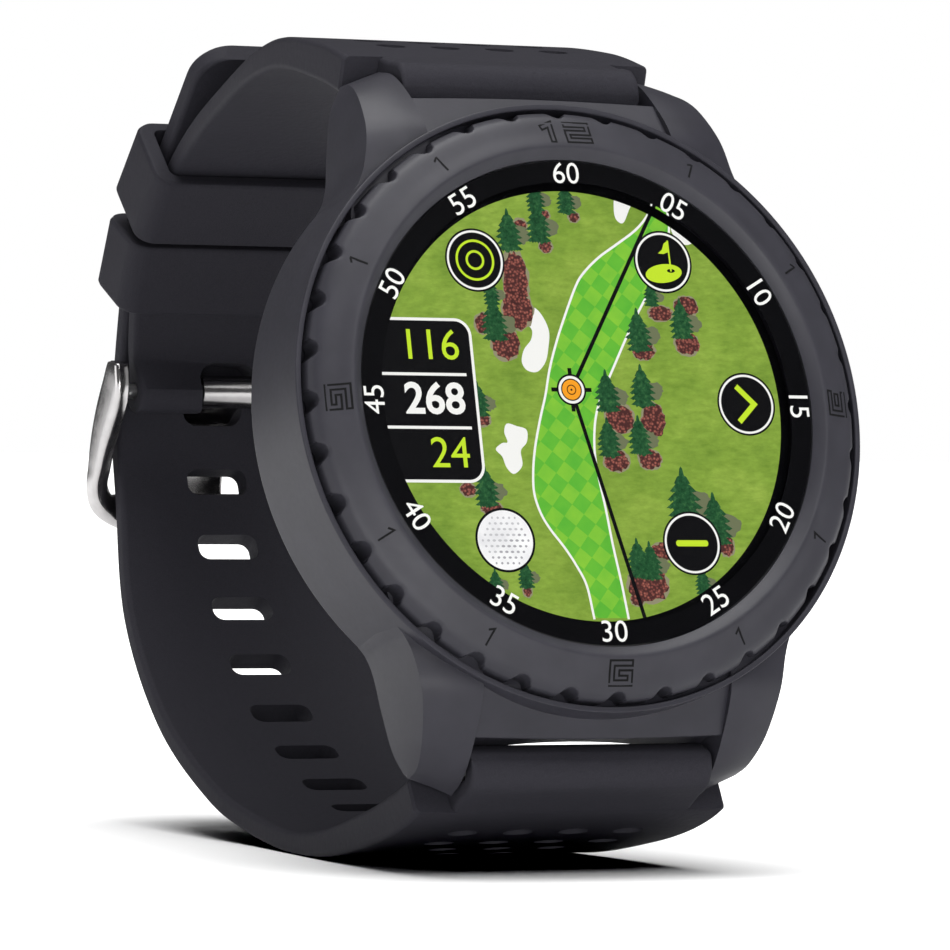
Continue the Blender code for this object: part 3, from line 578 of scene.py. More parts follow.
STROKE_W, STROKE_DEEP, OUTLINE_HALF = 0.16, 0.10, 0.20
STROKE_STEP = 0.2           # a stroke follows the curved face in steps of about this length
MARK_LIFT = 0.03            # the dark strips painting the grooves' shade stand this far proud of the bezel
NUMERAL_R, TICK_R = 22.2, 22.25

# strokes of the numerals, in units of half width and half height
DIGITS = {
    "1": (((-0.55, 0.62), (0.15, 1.0), (0.15, -1.0)),),
    "2": (((-1, 1), (1, 1), (1, 0), (-1, 0), (-1, -1), (1, -1)),),
    "3": (((-1, 1), (1, 1), (1, -1), (-1, -1)), ((-0.75, 0), (-0.05, 0))),
    "6": (((1, 1), (-1, 1), (-1, -1), (1, -1), (1, 0), (0.05, 0)),),
    "9": (((-1, -1), (1, -1), (1, 1), (-1, 1), (-1, 0), (-0.05, 0)),),
}


def mitred(points, half, closed=False):
    """The two sides of a ribbon along 2D points, joined at mitres."""
    left, right = [], []
    count = len(points)
    for i, p in enumerate(points):
        before = (p - points[i - 1]).normalized() if i or closed else (points[1] - p).normalized()
        after = (points[(i + 1) % count] - p).normalized() if i < count - 1 or closed else before
        mid = before + after
        mid = mid.normalized() if mid.length > 0.2 else before
        across = Vector((-mid.y, mid.x))
        reach = half / max(0.5, abs(across.dot(Vector((-before.y, before.x)))))
        left.append(p + across * reach)
        right.append(p - across * reach)
    return left, right


def ribbon_outline(points, half):
    """Both sides of a polyline with square ends, as one closed loop of 2D points."""
    pts = [Vector(p) for p in points]
    left, right = mitred(pts, half)
    for end, next_to in ((0, 1), (-1, -2)):
        longer = (pts[end] - pts[next_to]).normalized() * half
        left[end] += longer
        right[end] += longer
    return left + right[::-1]


def stroke_mesh(points, hour, radius, closed=False):
    """A dark strip along a mark's engraved line, painted shade for the groove, sunk into the bezel's face at
    an hour; x runs clockwise and y outwards.
    """
    angle = math.pi / 2 - hour * math.tau / 12
    corners = [Vector(p) for p in points] + ([Vector(points[0])] if closed else [])
    pts = []
    for a, b in zip(corners, corners[1:]):
        steps = max(1, round((b - a).length / STROKE_STEP))
        pts += [a.lerp(b, k / steps) for k in range(steps)]
    if not closed:
        pts.append(corners[-1])

    def lay(p, top):
        x, y = p.x, radius + p.y
        r, a = math.hypot(x, y), angle - math.atan2(x, y)
        return r * math.cos(a), r * math.sin(a), (MARK_LIFT if top else -STROKE_DEEP) - bezel_depth(r)

    sides = zip(*mitred(pts, STROKE_W / 2, closed))
    return loft([(lay(a, False), lay(b, False), lay(b, True), lay(a, True)) for a, b in sides], closed)


def numeral_strokes(text, hour):
    """Outlined numerals on the bezel's face; the 6 has its top towards the glass."""
    half_w, half_h, gap = (0.92, 0.72, 2.5) if len(text) > 1 else (0.80, 0.74, 0.0)
    turn = -1.0 if hour == 6 else 1.0
    out = []
    for k, digit in enumerate(text):
        shift = (k - (len(text) - 1) / 2) * gap
        for stroke in DIGITS[digit]:
            line = [(turn * (x * half_w + shift), turn * y * half_h) for x, y in stroke]
            out.append(stroke_mesh(ribbon_outline(line, OUTLINE_HALF), hour, NUMERAL_R, closed=True))
    return out


def hour_tick(hour):
    """A mark shaped like a thin 1, its top outward above the middle of the dial and inward below it."""
    turn = -1.0 if 3 < hour < 9 else 1.0
    line = [(turn * x, turn * y) for x, y in ((-0.42, 0.42), (0.0, 0.70), (0.0, -0.70))]
    return stroke_mesh(line, hour, TICK_R)


LIP_TURN = math.radians(0.45)       # angle over which the edge of a notch is rounded off
LIP_DEEP = 0.16


def bezel_limit(turn):
    """Greatest radius of the bezel at an angle measured from the middle of a notch."""
    centre = BEZEL_R + NOTCH_OUT
    side = centre * math.sin(turn)
    if abs(side) < NOTCH_R:
        bite = centre * math.cos(turn) - math.sqrt(NOTCH_R ** 2 - side ** 2)
        if bite < BEZEL_R - LIP_DEEP:
            return bite
    edge = math.asin(NOTCH_R / centre)
    t = max(0.0, 1.0 - (abs(turn) - edge) / LIP_TURN)
    return BEZEL_R - LIP_DEEP * min(1.0, t) ** 2


def bezel_columns():
    """Angles round the bezel: close together over each notch, wider apart on the tabs."""
    edge = math.asin(NOTCH_R / (BEZEL_R + NOTCH_OUT))
    pitch = math.tau / NOTCHES
    rest = pitch - 2 * (edge + LIP_TURN)
    turns = [edge * math.sin(math.pi * (i / 20 - 0.5)) for i in range(21)]
    turns += [edge + LIP_TURN * i / 4 for i in range(1, 5)]
    turns += [edge + LIP_TURN + rest * i / 6 for i in range(1, 6)]
    turns += [pitch - edge - LIP_TURN + LIP_TURN * i / 4 - 0.0004 for i in range(5)]
    return [(k * pitch, turn) for k in range(NOTCHES) for turn in turns]


def make_bezel():
    top = curve_through(BEZEL_TOP[1:4], 4)[:-1] + curve_through(BEZEL_TOP[3:], 5)
    profile = [(20.0, 0.8), BEZEL_TOP[0], *top, (BEZEL_R, BEZEL_BACK - 0.2), (BEZEL_R - 0.2, BEZEL_BACK),
               (BEZEL_BORE, BEZEL_BACK), (BEZEL_BORE, 0.8)]
    pitch = math.tau / NOTCHES
    sections = []
    for base, turn in bezel_columns():
        limit = bezel_limit(turn if turn < pitch / 2 else turn - pitch)
        a = math.pi / 2 - base - turn
        sections.append([(min(r, limit) * math.cos(a), min(r, limit) * math.sin(a), -d) for r, d in profile])
    ring = loft(sections, closed=True, name="bezel", sharp=40)
    # the engraved lines are dark strips on an uncut ring: painted shade for the grooves
    groove_shade = []
    for hour in range(1, 13):
        groove_shade += [hour_tick(hour)] if hour % 3 else numeral_strokes(str(hour), hour)
    piece("bezel_grip_ring", ring, MATS["bezel"], "bezel", ("bezel",))
    piece("bezel_groove_shade_strips", merged(groove_shade), MATS["groove_shade"], "bezel")


# ---------------------------------------------------------------- display graphics
LAYER_TOP = 1.515           # depth of the display's black border, the top layer
LAYER_PITCH = 0.005
(RING, ICON_MARK, ICON, PANEL_MARK, PANEL, AIM, LINE, TREE, SHADE, MULCH, SAND, EDGE, FAIRWAY,
 GRASS) = range(14)


def layer_z(layer):
    return -(LAYER_TOP + LAYER_PITCH * layer)


def flat(name, outlines, layer, mat, lift=0.0):
    """Filled 2D outlines as one flat mesh on a display layer; UVs are its x and y in millimetres."""
    bm = bmesh.new()
    for outline in outlines:
        verts = [bm.verts.new((x, y, layer_z(layer) + lift)) for x, y in outline]
        bm.faces.new(verts)
    bmesh.ops.triangulate(bm, faces=bm.faces)
    for face in bm.faces:
        if face.normal.z < 0:
            face.normal_flip()
    uv = bm.loops.layers.uv.new("UVMap")
    for face in bm.faces:
        for loop in face.loops:
            loop[uv].uv = (loop.vert.co.x, loop.vert.co.y)
    mesh = bpy.data.meshes.new(name)
    bm.to_mesh(mesh)
    bm.free()
    piece(name, mesh, mat)


def oval(x, y, half_w, half_h, steps):
    return [(x + half_w * math.cos(a), y + half_h * math.sin(a)) for a in circle(steps)]


def disc(x, y, r, steps=72):
    return oval(x, y, r, r, steps)


def hoop(x, y, inner, outer, steps=72):
    """A ring as quads, so it can be filled without a hole."""
    a, b = disc(x, y, inner, steps), disc(x, y, outer, steps)
    return [[a[k], b[k], b[(k + 1) % steps], a[(k + 1) % steps]] for k in range(steps)]


def stripe(points, width):
    """A line with square ends, as quads."""
    loop = ribbon_outline(points, width / 2)
    count = len(points)
    return [[tuple(loop[j]) for j in (i, i + 1, 2 * count - 2 - i, 2 * count - 1 - i)]
            for i in range(count - 1)]


def blob(points, per_span=5):
    """A closed outline with smooth corners."""
    smooth = curve_through([*points, *points[:3]], per_span)
    return smooth[per_span:per_span * (len(points) + 1)]


def text_mesh(name, text, size, x, y, layer, mat, turn=0.0, bold=0.0, align="CENTER",
              lift=0.0):
    """A line of figures as a flat mesh on a display layer."""
    font = bpy.data.curves.new(name, "FONT")
    font.body = text
    font.size = size
    font.offset = bold
    font.align_x = align
    font.align_y = "CENTER"
    font.resolution_u = 4
    holder = placed(name, font)
    mesh = evaluated(holder)
    bpy.data.objects.remove(holder, do_unlink=True)
    mesh.transform(Matrix.Translation((x, y, layer_z(layer) + lift)) @ Matrix.Rotation(turn, 4, "Z"))
    piece(name, mesh, mat)


FAIRWAY_LEFT = ((8.3, 17.2), (7.5, 15.8), (6.3, 14.6), (4.5, 13.4), (2.8, 12.3), (1.3, 11.0), (0.4, 9.8),
                (-1.0, 7.0), (-1.9, 5.0), (-2.7, 2.9), (-3.3, 0.8), (-4.0, -1.2), (-4.7, -3.5),
                (-5.1, -5.5), (-5.2, -7.3), (-4.8, -8.9), (-4.1, -10.2), (-3.0, -11.7), (-2.1, -13.2),
                (-1.4, -14.8), (-1.05, -17.4))
FAIRWAY_RIGHT = ((9.4, 17.0), (9.4, 14.6), (8.4, 11.6), (6.5, 8.8), (5.5, 7.3), (4.4, 5.5), (2.9, 2.9),
                 (1.8, 1.0), (1.1, -0.6), (0.7, -2.3), (0.55, -4.2), (0.7, -6.2), (1.0, -8.5),
                 (1.3, -11.5), (1.7, -14.5), (2.0, -17.4))
BUNKERS = (
    ((-4.3, 7.4), (-3.6, 8.0), (-2.9, 7.4), (-2.4, 6.1), (-2.6, 4.7), (-3.0, 3.5), (-3.8, 2.7), (-4.7, 2.8),
     (-5.1, 3.5), (-4.8, 4.5), (-4.1, 5.3), (-3.9, 6.1), (-4.3, 6.7)),
    ((-7.0, -1.6), (-6.1, -1.8), (-5.3, -2.1), (-5.4, -3.1), (-6.0, -3.8), (-6.0, -5.0), (-6.8, -5.7),
     (-7.4, -5.2), (-7.7, -4.3), (-8.2, -3.7), (-7.6, -3.2), (-7.1, -3.1), (-7.3, -2.3)),
    ((4.9, 17.4), (6.3, 17.2), (5.9, 16.2), (5.3, 15.2), (4.7, 15.5), (4.6, 16.4)),
    ((9.6, 14.9), (10.6, 14.5), (11.5, 13.8), (10.8, 13.5), (10.0, 13.9)),
)
# mulch beds as (x, y, half width, half height)
BEDS = ((-4.9, 10.4, 1.1, 2.3), (-5.0, 7.9, 1.3, 1.7), (-6.4, 5.0, 1.2, 1.4), (-8.2, 6.6, 0.7, 0.8),
        (-4.0, 14.8, 0.6, 0.5), (-1.9, 13.1, 0.55, 0.5), (-1.7, 15.7, 0.4, 0.35), (0.9, 15.6, 0.45, 0.4),
        (7.8, 7.7, 1.1, 0.6), (10.2, 8.3, 1.0, 0.85), (9.9, 5.2, 1.05, 0.9), (5.9, 4.6, 1.0, 0.75),
        (3.1, -1.0, 1.3, 1.2), (6.1, -1.1, 1.0, 1.4), (2.4, -4.5, 1.1, 0.9), (5.4, -4.4, 1.0, 0.8),
        (-11.0, -7.0, 0.65, 0.55), (-9.1, -8.5, 0.9, 0.5), (-9.1, -1.3, 0.65, 0.5), (11.5, -11.5, 0.65, 0.8),
        (4.1, -14.6, 1.8, 1.5), (5.6, -12.0, 0.9, 0.7), (-6.7, -15.2, 0.35, 0.45), (3.0, -15.9, 0.6, 0.5))
# conifers as (x, y, height)
TREES = ((-5.1, 14.3, 2.9), (-2.4, 15.0, 2.8), (-2.4, 17.2, 2.2), (0.3, 17.1, 2.2), (-7.2, 9.2, 1.9),
         (-7.2, 6.9, 3.0), (5.6, 6.2, 3.0), (7.1, 9.3, 1.8), (9.6, 7.2, 2.8), (2.2, 1.1, 2.9),
         (5.4, 1.6, 2.9), (1.9, -2.7, 2.7), (4.7, -2.5, 2.7), (-9.3, 0.3, 2.4), (-9.4, -6.8, 2.8),
         (8.1, -7.6, 4.0), (10.7, -9.4, 3.6), (3.4, -12.6, 2.7), (4.5, -12.8, 2.6), (-6.7, -13.9, 1.9),
         (-9.4, -14.5, 1.8), (9.0, -14.4, 1.9))


def ragged(x, y, half_w, half_h, rng, steps=30, rough=0.16):
    out = []
    for k in range(steps):
        a = math.tau * k / steps
        reach = 1.0 + rng.uniform(-rough, rough)
        out.append((x + half_w * reach * math.cos(a), y + half_h * reach * math.sin(a)))
    return out


def conifer(x, y, height, rng):
    """A conifer seen from above: tiers of needles, narrow at the tip and ragged at the sides."""
    tiers = []
    rows = 7
    for row in range(rows):
        t = row / (rows - 1)
        half = height * (0.06 + 0.36 * math.sin(min(1.0, t * 1.15) * math.pi * 0.62))
        mid = y + height * (0.5 - t)
        drop = height * 0.16
        outline = []
        spikes = 9
        for k in range(spikes + 1):
            u = -1.0 + 2.0 * k / spikes
            sag = drop * (1.0 - 0.45 * u * u) * rng.uniform(0.75, 1.15)
            outline.append((x + half * u, mid - sag + height * 0.05))
            if k < spikes:
                outline.append((x + half * (u + 1.0 / spikes), mid - sag * 0.35))
        outline += [(x + half * side, mid + drop * low)
                    for side, low in ((0.55, 0.7), (0.0, 1.0), (-0.55, 0.7))]
        tiers.append(outline)
    return tiers


AIM_AT = (-0.95, 1.25)


def make_map():
    rng = random.Random(7)
    grass = lit("map_grass", (0.24, 0.38, 0.05), texture=grass_texture)
    flat("map_grass", [disc(0, 0, DISPLAY_R + 0.3, 120)], GRASS, grass)
    left, right = curve_through(FAIRWAY_LEFT, 5), curve_through(FAIRWAY_RIGHT, 5)
    mown = lit("map_fairway", (0.1, 0.45, 0.06), texture=fairway_texture)
    flat("map_fairway", [[*left, *right[::-1]]], FAIRWAY, mown)
    white = lit("map_white", (0.95, 0.95, 0.92), 0.95)
    flat("map_fairway_edges", stripe(left, 0.20) + stripe(right, 0.20), EDGE, white)
    flat("map_bunkers", [blob(b) for b in BUNKERS], SAND, white)
    beds = [ragged(x, y, w, h, rng) for x, y, w, h in BEDS]
    rims = [ragged(x, y, w + 0.13, h + 0.13, rng, rough=0.08) for x, y, w, h in BEDS]
    flat("map_mulch_rims", rims, MULCH + 0.5, lit("map_mulch_rim", (0.28, 0.26, 0.16)))
    flat("map_mulch", beds, MULCH, lit("map_mulch", (0.36, 0.09, 0.07), texture=mulch_texture))
    shades = [ragged(x + 0.30 * h, y - 0.12 * h, 0.34 * h, 0.26 * h, rng, rough=0.14) for x, y, h in TREES]
    flat("map_tree_shadows", shades, SHADE, lit("map_shadow", (0.155, 0.175, 0.095)))
    tiers = [tier for x, y, h in TREES for tier in conifer(x, y, h, rng)]
    flat("map_trees", tiers, TREE, lit("map_leaves", (0.02, 0.1, 0.035), texture=leaf_texture))
    ink = lit("map_ink", (0.004, 0.004, 0.005))
    flat("map_shot_line", stripe(((8.45, 17.0), AIM_AT, (3.45, -17.4)), 0.33), LINE, ink)
    x, y = AIM_AT
    ticks = [stripe(((x + 1.15 * c, y + 1.15 * s), (x + 1.62 * c, y + 1.62 * s)), 0.34)[0]
             for c, s in ((1, 0), (-1, 0), (0, 1), (0, -1))]
    flat("map_aim_back", [disc(x, y, 1.30)] + ticks, AIM + 0.4, ink)
    flat("map_aim_ring", [disc(x, y, 1.14)], AIM + 0.2, white)
    flat("map_aim_inner", [disc(x, y, 0.92)], AIM, ink)
    flat("map_aim_centre", [disc(x, y, 0.82)], AIM - 0.2, lit("map_orange", (0.95, 0.36, 0.02)))
    flat("map_aim_dot", hoop(x, y, 0.34, 0.42) + [disc(x, y, 0.09)], AIM - 0.3, ink)
    return white, ink


ICONS = {"range": (-8.35, 11.8), "green": (8.5, 12.0), "next": (14.7, 0.25), "zoom_out": (8.4, -11.3),
         "ball": (-8.2, -11.1)}


BALL_R = 2.42


def make_icons(white, ink):
    lime = lit("icon_lime", (0.55, 0.78, 0.03))
    flat("icon_backs", [disc(x, y, 2.62) for x, y in ICONS.values()], ICON, ink)
    rims = [quad for name, (x, y) in ICONS.items() if name != "ball" for quad in hoop(x, y, 2.28, 2.46)]
    flat("icon_rims", rims, ICON_MARK + 0.5, white)
    x, y = ICONS["range"]
    flat("icon_range_rings", hoop(x, y, 1.50, 1.70) + hoop(x, y, 0.62, 0.82), ICON_MARK, lime)
    x, y = ICONS["green"]
    putting = [(x + 1.65 * math.cos(a) - 0.02, y - 0.95 + 0.78 * math.sin(a) + 0.16 * math.cos(a))
               for a in circle(48)]
    flag = [(x + 0.55, y + 1.75), (x + 0.25, y + 1.55), (x + 0.05, y + 1.05), (x - 0.35, y + 0.72),
            (x + 0.15, y + 0.68), (x + 0.60, y + 0.85)]
    pole = stripe(((x + 0.62, y + 1.75), (x + 0.66, y - 0.70)), 0.14)
    flat("icon_green_shape", [putting, flag], ICON_MARK, lime)
    flat("icon_green_pole", pole, ICON_MARK - 0.3, lime)
    flat("icon_green_hole", [oval(x + 0.66, y - 0.72, 0.36, 0.16, 24)], ICON_MARK - 0.15, ink)
    x, y = ICONS["next"]
    chevron = stripe(((x - 0.62, y + 1.32), (x + 0.72, y), (x - 0.62, y - 1.32)), 0.46)
    flat("icon_next_chevron", chevron, ICON_MARK, lime)
    x, y = ICONS["zoom_out"]
    bar = [(x + sx * 1.25 + 0.2 * math.cos(a), y + 0.28 * math.sin(a) * 0.9)
           for sx, start in ((1, -90), (-1, 90)) for a in (math.radians(start + 18 * k) for k in range(11))]
    flat("icon_zoom_bar", [bar], ICON_MARK, lime)
    x, y = ICONS["ball"]
    ball = lit("ball_white", (0.92, 0.92, 0.93), texture=ball_texture)
    flat("icon_ball", [disc(x, y, BALL_R)], ICON_MARK + 0.5, ball)
    dimples, shades = [], []
    for row in range(-5, 6):
        for col in range(-5, 6):
            u = (col + 0.5 * (row % 2)) * 0.50
            v = row * 0.46
            reach = math.hypot(u, v) / BALL_R
            if reach > 0.90:
                continue
            squeeze = math.sqrt(max(0.1, 1.0 - reach * reach))
            low = oval(x + u + 0.02, y + v - 0.03, 0.17 * squeeze, 0.10, 12)
            (shades if u + 1.2 * -v < 0.3 else dimples).append(low)
    flat("icon_ball_dimples", dimples, ICON_MARK, lit("ball_grey", (0.40, 0.40, 0.42)))
    flat("icon_ball_light_dimples", shades, ICON_MARK, lit("ball_pale", (0.56, 0.56, 0.58)))
    return lime


def make_panel(white, ink, lime):
    """The distances panel at the left, cut off by the display's edge."""
    low, high, left, right, corner = -6.35, 6.85, -18.0, -9.45, 1.3

    def rounded_box(grow):
        pts = [(left, low - grow)]
        for y, start in ((low + corner, 270), (high - corner, 0)):
            pts += arc(right - corner, y, corner + grow, start, 8)
        return [*pts, (left, high + grow)]

    flat("panel_border", [rounded_box(0.12)], PANEL + 0.4, white)
    flat("panel_back", [rounded_box(-0.12)], PANEL, ink)
    rows = [stripe(((-17.6, y), (-10.25, y)), 0.24)[0] for y in (2.35, -2.0)]
    flat("panel_dividers", rows, PANEL_MARK, white)
    figures = (("front", "116", 4.65, lime, 0.0), ("middle", "268", 0.25, white, 0.075),
               ("back", "24", -4.15, lime, 0.0))
    for name, text, y, mat, bold in figures:
        text_mesh(f"panel_{name}_distance", text, 3.55, -10.45, y, PANEL_MARK, mat, bold=bold, align="RIGHT")


PRINT_LIFT = 1.08           # the ring is printed this far above the display
PRINT_INNER = 18.15
FIGURES_R = 18.82


def make_minute_ring(white):
    """The black ring printed on the glass, with minute numbers, and the display's own black border."""
    black = grained("ring_black", (0.0015, 0.0015, 0.002), 0.32, shine=0.04)
    flat("display_border", hoop(0, 0, DISPLAY_R, DISPLAY_R + 0.8, 180), RING, black)
    printed = hoop(0, 0, PRINT_INNER, GLASS_R - 0.03, 180)
    flat("minute_ring", printed, RING, black, lift=PRINT_LIFT)
    for minute in range(5, 65, 5):
        angle = -math.tau * minute / 60
        turn = angle + (math.pi if 15 < minute < 45 else 0.0)
        x, y = FIGURES_R * math.sin(-angle), FIGURES_R * math.cos(angle)
        text_mesh(f"minute_{minute:02d}", f"{minute:02d}", 2.50, x, y, RING - 0.6, white, turn=turn,
                  lift=PRINT_LIFT)


def make_glass():
    mat, net = new_material("cover_glass", (0.0, 0.0, 0.0), 0.03, shine=0.25)
    net.shader.inputs["Alpha"].default_value = 0.04
    net.shader.inputs["IOR"].default_value = 1.5
    net.drive(net.spread(net.noise(net.coords(), 0.18), 0.02, 0.09), "Roughness")
    edge = ((0.0, 0.35), (GLASS_R - 0.25, 0.35), (GLASS_R, 0.6), (GLASS_R, 1.5), (0.0, 1.5))
    piece("cover_glass_disc", turned(edge, 240), mat, stands_for=("glass",))


# ---------------------------------------------------------------- button
STEM_R = 0.8


def make_button():
    def along(start, end, radius, segments, y=0.0, z=0.0):
        return rod((start, y, z - BUTTON_DEPTH), (end, y, z - BUTTON_DEPTH), radius, segments)

    face = CASE_R + BUTTON_PROUD
    cap = along(24.2, face, BUTTON_R, 72)
    grip = [along(face + 0.05, face - 0.15, 0.14, 16, math.cos(a) * 1.2, math.sin(a) * 1.2)
            for a in circle(12)]
    seat = along(24.0, SPRING_SEAT_END, SPRING_SEAT_R, 72)
    stem = along(20.0, SPRING_SEAT_END + 0.1, STEM_R, 48)
    cap = applied(cap, [merged(grip), seat], bevel=0.10, angle=50, segments=3)
    piece("power_button_cap", applied(cap, (), [stem]), MATS["button"], "power_button",
          ("power_button",))


# ---------------------------------------------------------------- strap
UPPER_LINE = (
    (8.4, 28.3, 13.9), (11.0, 29.9, 13.9), (15.6, 32.4, 13.6), (23.4, 35.6, 13.0), (29.1, 36.8, 12.5),
    (35.1, 37.2, 11.8), (41.0, 37.2, 11.0), (47.8, 36.9, 10.2), (54.3, 36.2, 9.3), (59.5, 34.4, 8.9),
    (63.9, 31.3, 8.9), (67.5, 27.2, 8.9), (69.4, 22.8, 8.8), (69.6, 18.8, 8.8),
)
LOWER_LINE = (
    (8.4, -28.3, 13.9), (11.8, -29.7, 13.9), (17.0, -30.2, 13.7), (22.9, -30.1, 13.4), (31.4, -29.4, 12.7),
    (40.0, -27.6, 11.8), (48.7, -24.3, 11.2), (56.1, -20.0, 11.3), (65.1, -11.9, 11.2), (71.1, -1.3, 10.8),
    (73.9, 10.0, 9.4), (73.8, 17.5, 9.1),
)
TAIL_RESTS_AT = (6.4, 10.9, 15.4, 19.9)
TAIL_LIFT = 2.35
TAIL_TIP = (49.0, 43.8, 8.9)
SHOULDER_AT = 3.1
TONGUE_SLOT_AT = 94.6
SLOT_PULL = 0.8             # the slot in use is drawn this much away from the free ones


class Path:
    """A strap's centre line, measured by its length from the lug bar."""

    def __init__(self, points, outward, per_span=3):
        self.points = curve_through(points, per_span)
        self.outward = outward
        self.length = [0.0]
        for a, b in zip(self.points, self.points[1:]):
            self.length.append(self.length[-1] + math.hypot(b[0] - a[0], b[1] - a[1]))
        self.total = self.length[-1]

    def at(self, s):
        i = 1
        while i < len(self.length) - 1 and self.length[i] < s:
            i += 1
        t = (s - self.length[i - 1]) / (self.length[i] - self.length[i - 1])
        return tuple(a + (b - a) * t for a, b in zip(self.points[i - 1], self.points[i]))

    def heading(self, s):
        a, b = self.at(s - 1.0), self.at(s + 1.0)
        return math.atan2(b[1] - a[1], b[0] - a[0])

    def frame(self, s, side=0.0):
        """Matrix with x across the strap, y along it and z out of the wrist, at an offset outwards."""
        depth, height, _ = self.at(s)
        angle = self.heading(s)
        along = Vector((0.0, math.sin(angle), -math.cos(angle)))
        out = Vector((0.0, math.cos(angle), math.sin(angle))) * self.outward
        across = along.cross(out)
        where = Vector((0.0, height, -depth)) + out * side
        return Matrix((
            (across.x, along.x, out.x, where.x),
            (across.y, along.y, out.y, where.y),
            (across.z, along.z, out.z, where.z),
            (0.0, 0.0, 0.0, 1.0)))


def tail_line(upper):
    line = []
    for back in TAIL_RESTS_AT:
        spot = upper.frame(upper.total - back, TAIL_LIFT).translation
        line.append((-spot.z, spot.y, 8.9))
    line.append(TAIL_TIP)
    return tuple(line)


UPPER_CAD = Path(UPPER_LINE, 1.0)
UPPER = Path(UPPER_LINE, 1.0, 12)
LOWER_CAD = Path(LOWER_LINE + tail_line(UPPER_CAD), -1.0)
LOWER = Path(LOWER_LINE + tail_line(UPPER_CAD), -1.0, 12)


def strap_thickness(s):
    ease = min(1.0, max(0.0, (s - 8.0) / 22.0))
    return STRAP_THICK_LUG + (STRAP_THICK - STRAP_THICK_LUG) * ease


def strap_section(path, s, half, thick):
    """Cross-section of the strap: a flat band with softly rounded edges."""
    here = path.frame(s)
    outline = rounded_rectangle(half, thick / 2, min(0.5, thick * 0.32), 4)
    return [here @ Vector((x, 0.0, z)) for x, z in outline]


# the strap leaves its barrel on the lug bar: distance along it, thickness
ROOT = ((0.6, 3.9), (1.4, 3.45), (SHOULDER_AT, 3.2))


def strap_body(path, end_gap, count):
    """Sections from the lug bar to near the strap's end."""
    half = STRAP_TONGUE_W / 2
    sections = []
    for k in range(9):
        angle = math.radians(10 + 72 * k / 8)
        thick = 2 * STRAP_BARREL_R * math.sin(angle)
        sections.append(strap_section(path, -STRAP_BARREL_R * math.cos(angle), half, thick))
    sections += [strap_section(path, s, half, thick) for s, thick in ROOT]
    sections.append(strap_section(path, SHOULDER_AT + 0.02, 13.7, 3.1))
    first, last = 4.2, path.total - end_gap
    for s in [SHOULDER_AT + 0.25] + [first + (last - first) * k / (count - 1) for k in range(count)]:
        sections.append(strap_section(path, s, path.at(s)[2], strap_thickness(s)))
    return sections


def bar_hole(depth, height, half, radius):
    return rod((-half, height, -depth), (half, height, -depth), radius, 32)


def slot_mesh(path, s, width, height, depth=6.0):
    bm = bmesh.new()
    bmesh.ops.create_cube(bm, size=1.0, matrix=Matrix.Diagonal((width, height, depth, 1.0)))
    upright = [e for e in bm.edges if abs(e.verts[0].co.z - e.verts[1].co.z) > depth / 2]
    corner = min(width, height) * 0.38
    bmesh.ops.bevel(bm, geom=upright, offset=corner, segments=6, affect="EDGES", profile=0.5)
    bm.transform(path.frame(s))
    return finish_mesh("slot", bm)


DIMPLE_ROWS = ((7.9, 4), (12.3, 4), (16.7, 3), (21.1, 2))     # distance along the strap, count
DIMPLE_PITCH, DIMPLE_LIFT = 4.95, 0.12
DIMPLE_HALVES = (1.30, 0.95, 1.30)


def dimple_meshes(path):
    """Oval dimples in a triangle on the outer face, pointing away from the case."""
    out = []
    for s, count in DIMPLE_ROWS:
        for k in range(count):
            x = (k - (count - 1) / 2) * DIMPLE_PITCH
            bm = bmesh.new()
            bmesh.ops.create_uvsphere(bm, u_segments=28, v_segments=14, radius=1.0,
                                      matrix=Matrix.Diagonal((*DIMPLE_HALVES, 1.0)))
            here = path.frame(s, strap_thickness(s) / 2 + DIMPLE_LIFT)
            bm.transform(here @ Matrix.Translation((x, 0.0, 0.0)))
            out.append(finish_mesh("dimple", bm))
    return out


def make_upper_strap():
    end = UPPER.total
    sections = strap_body(UPPER, 2.4, 110)
    for k in range(9):
        angle = math.radians(82 - 72 * k / 8)
        s = end + BUCKLE_BARREL_R * math.cos(angle)
        sections.append(strap_section(UPPER, s, UPPER.at(end)[2], 2 * BUCKLE_BARREL_R * math.sin(angle)))
    holes = [bar_hole(BAR_DEPTH, BAR_HEIGHT, 16.0, BAR_HOLE_R), bar_hole(*BUCKLE_BAR, 14.0, BUCKLE_BAR_HOLE),
             slot_mesh(UPPER, end + 0.2, TONGUE_W + 0.8, 5.4, 8.0)]
    strap = applied(loft(sections), [*holes, merged(dimple_meshes(UPPER))])
    piece("strap_buckle_side", strap, MATS["strap"], stands_for=("upper_strap",))


TAIL_CORNER = 3.0


def make_lower_strap():
    end = LOWER.total
    sections = strap_body(LOWER, TAIL_CORNER, 170)
    for k in range(1, 11):
        angle = math.radians(9 * k)
        half = LOWER.at(end)[2] - TAIL_CORNER + TAIL_CORNER * math.cos(angle)
        s = end - TAIL_CORNER + TAIL_CORNER * math.sin(angle)
        sections.append(strap_section(LOWER, s, half, STRAP_THICK))
    places = [TONGUE_SLOT_AT + SLOT_PITCH * k - SLOT_PULL for k in range(-8, 0)]
    places.append(TONGUE_SLOT_AT + SLOT_PITCH)
    slots = [slot_mesh(LOWER_CAD, s, SLOT_W, SLOT_H) for s in places]
    slots.append(slot_mesh(LOWER_CAD, TONGUE_SLOT_AT, SLOT_W, TONGUE_SLOT_H))
    hole = bar_hole(BAR_DEPTH, -BAR_HEIGHT, 16.0, BAR_HOLE_R)
    strap = applied(loft(sections), [hole, merged(slots + dimple_meshes(LOWER))])
    piece("strap_hole_side", strap, MATS["strap"], stands_for=("lower_strap",))


# body, distance back from the buckle bar, tilt in degrees, height inside, length
KEEPERS = (("keeper_front", 19.15, -3.0, 5.9, 7.3), ("keeper_rear", 11.2, 0.0, 5.3, 6.6))


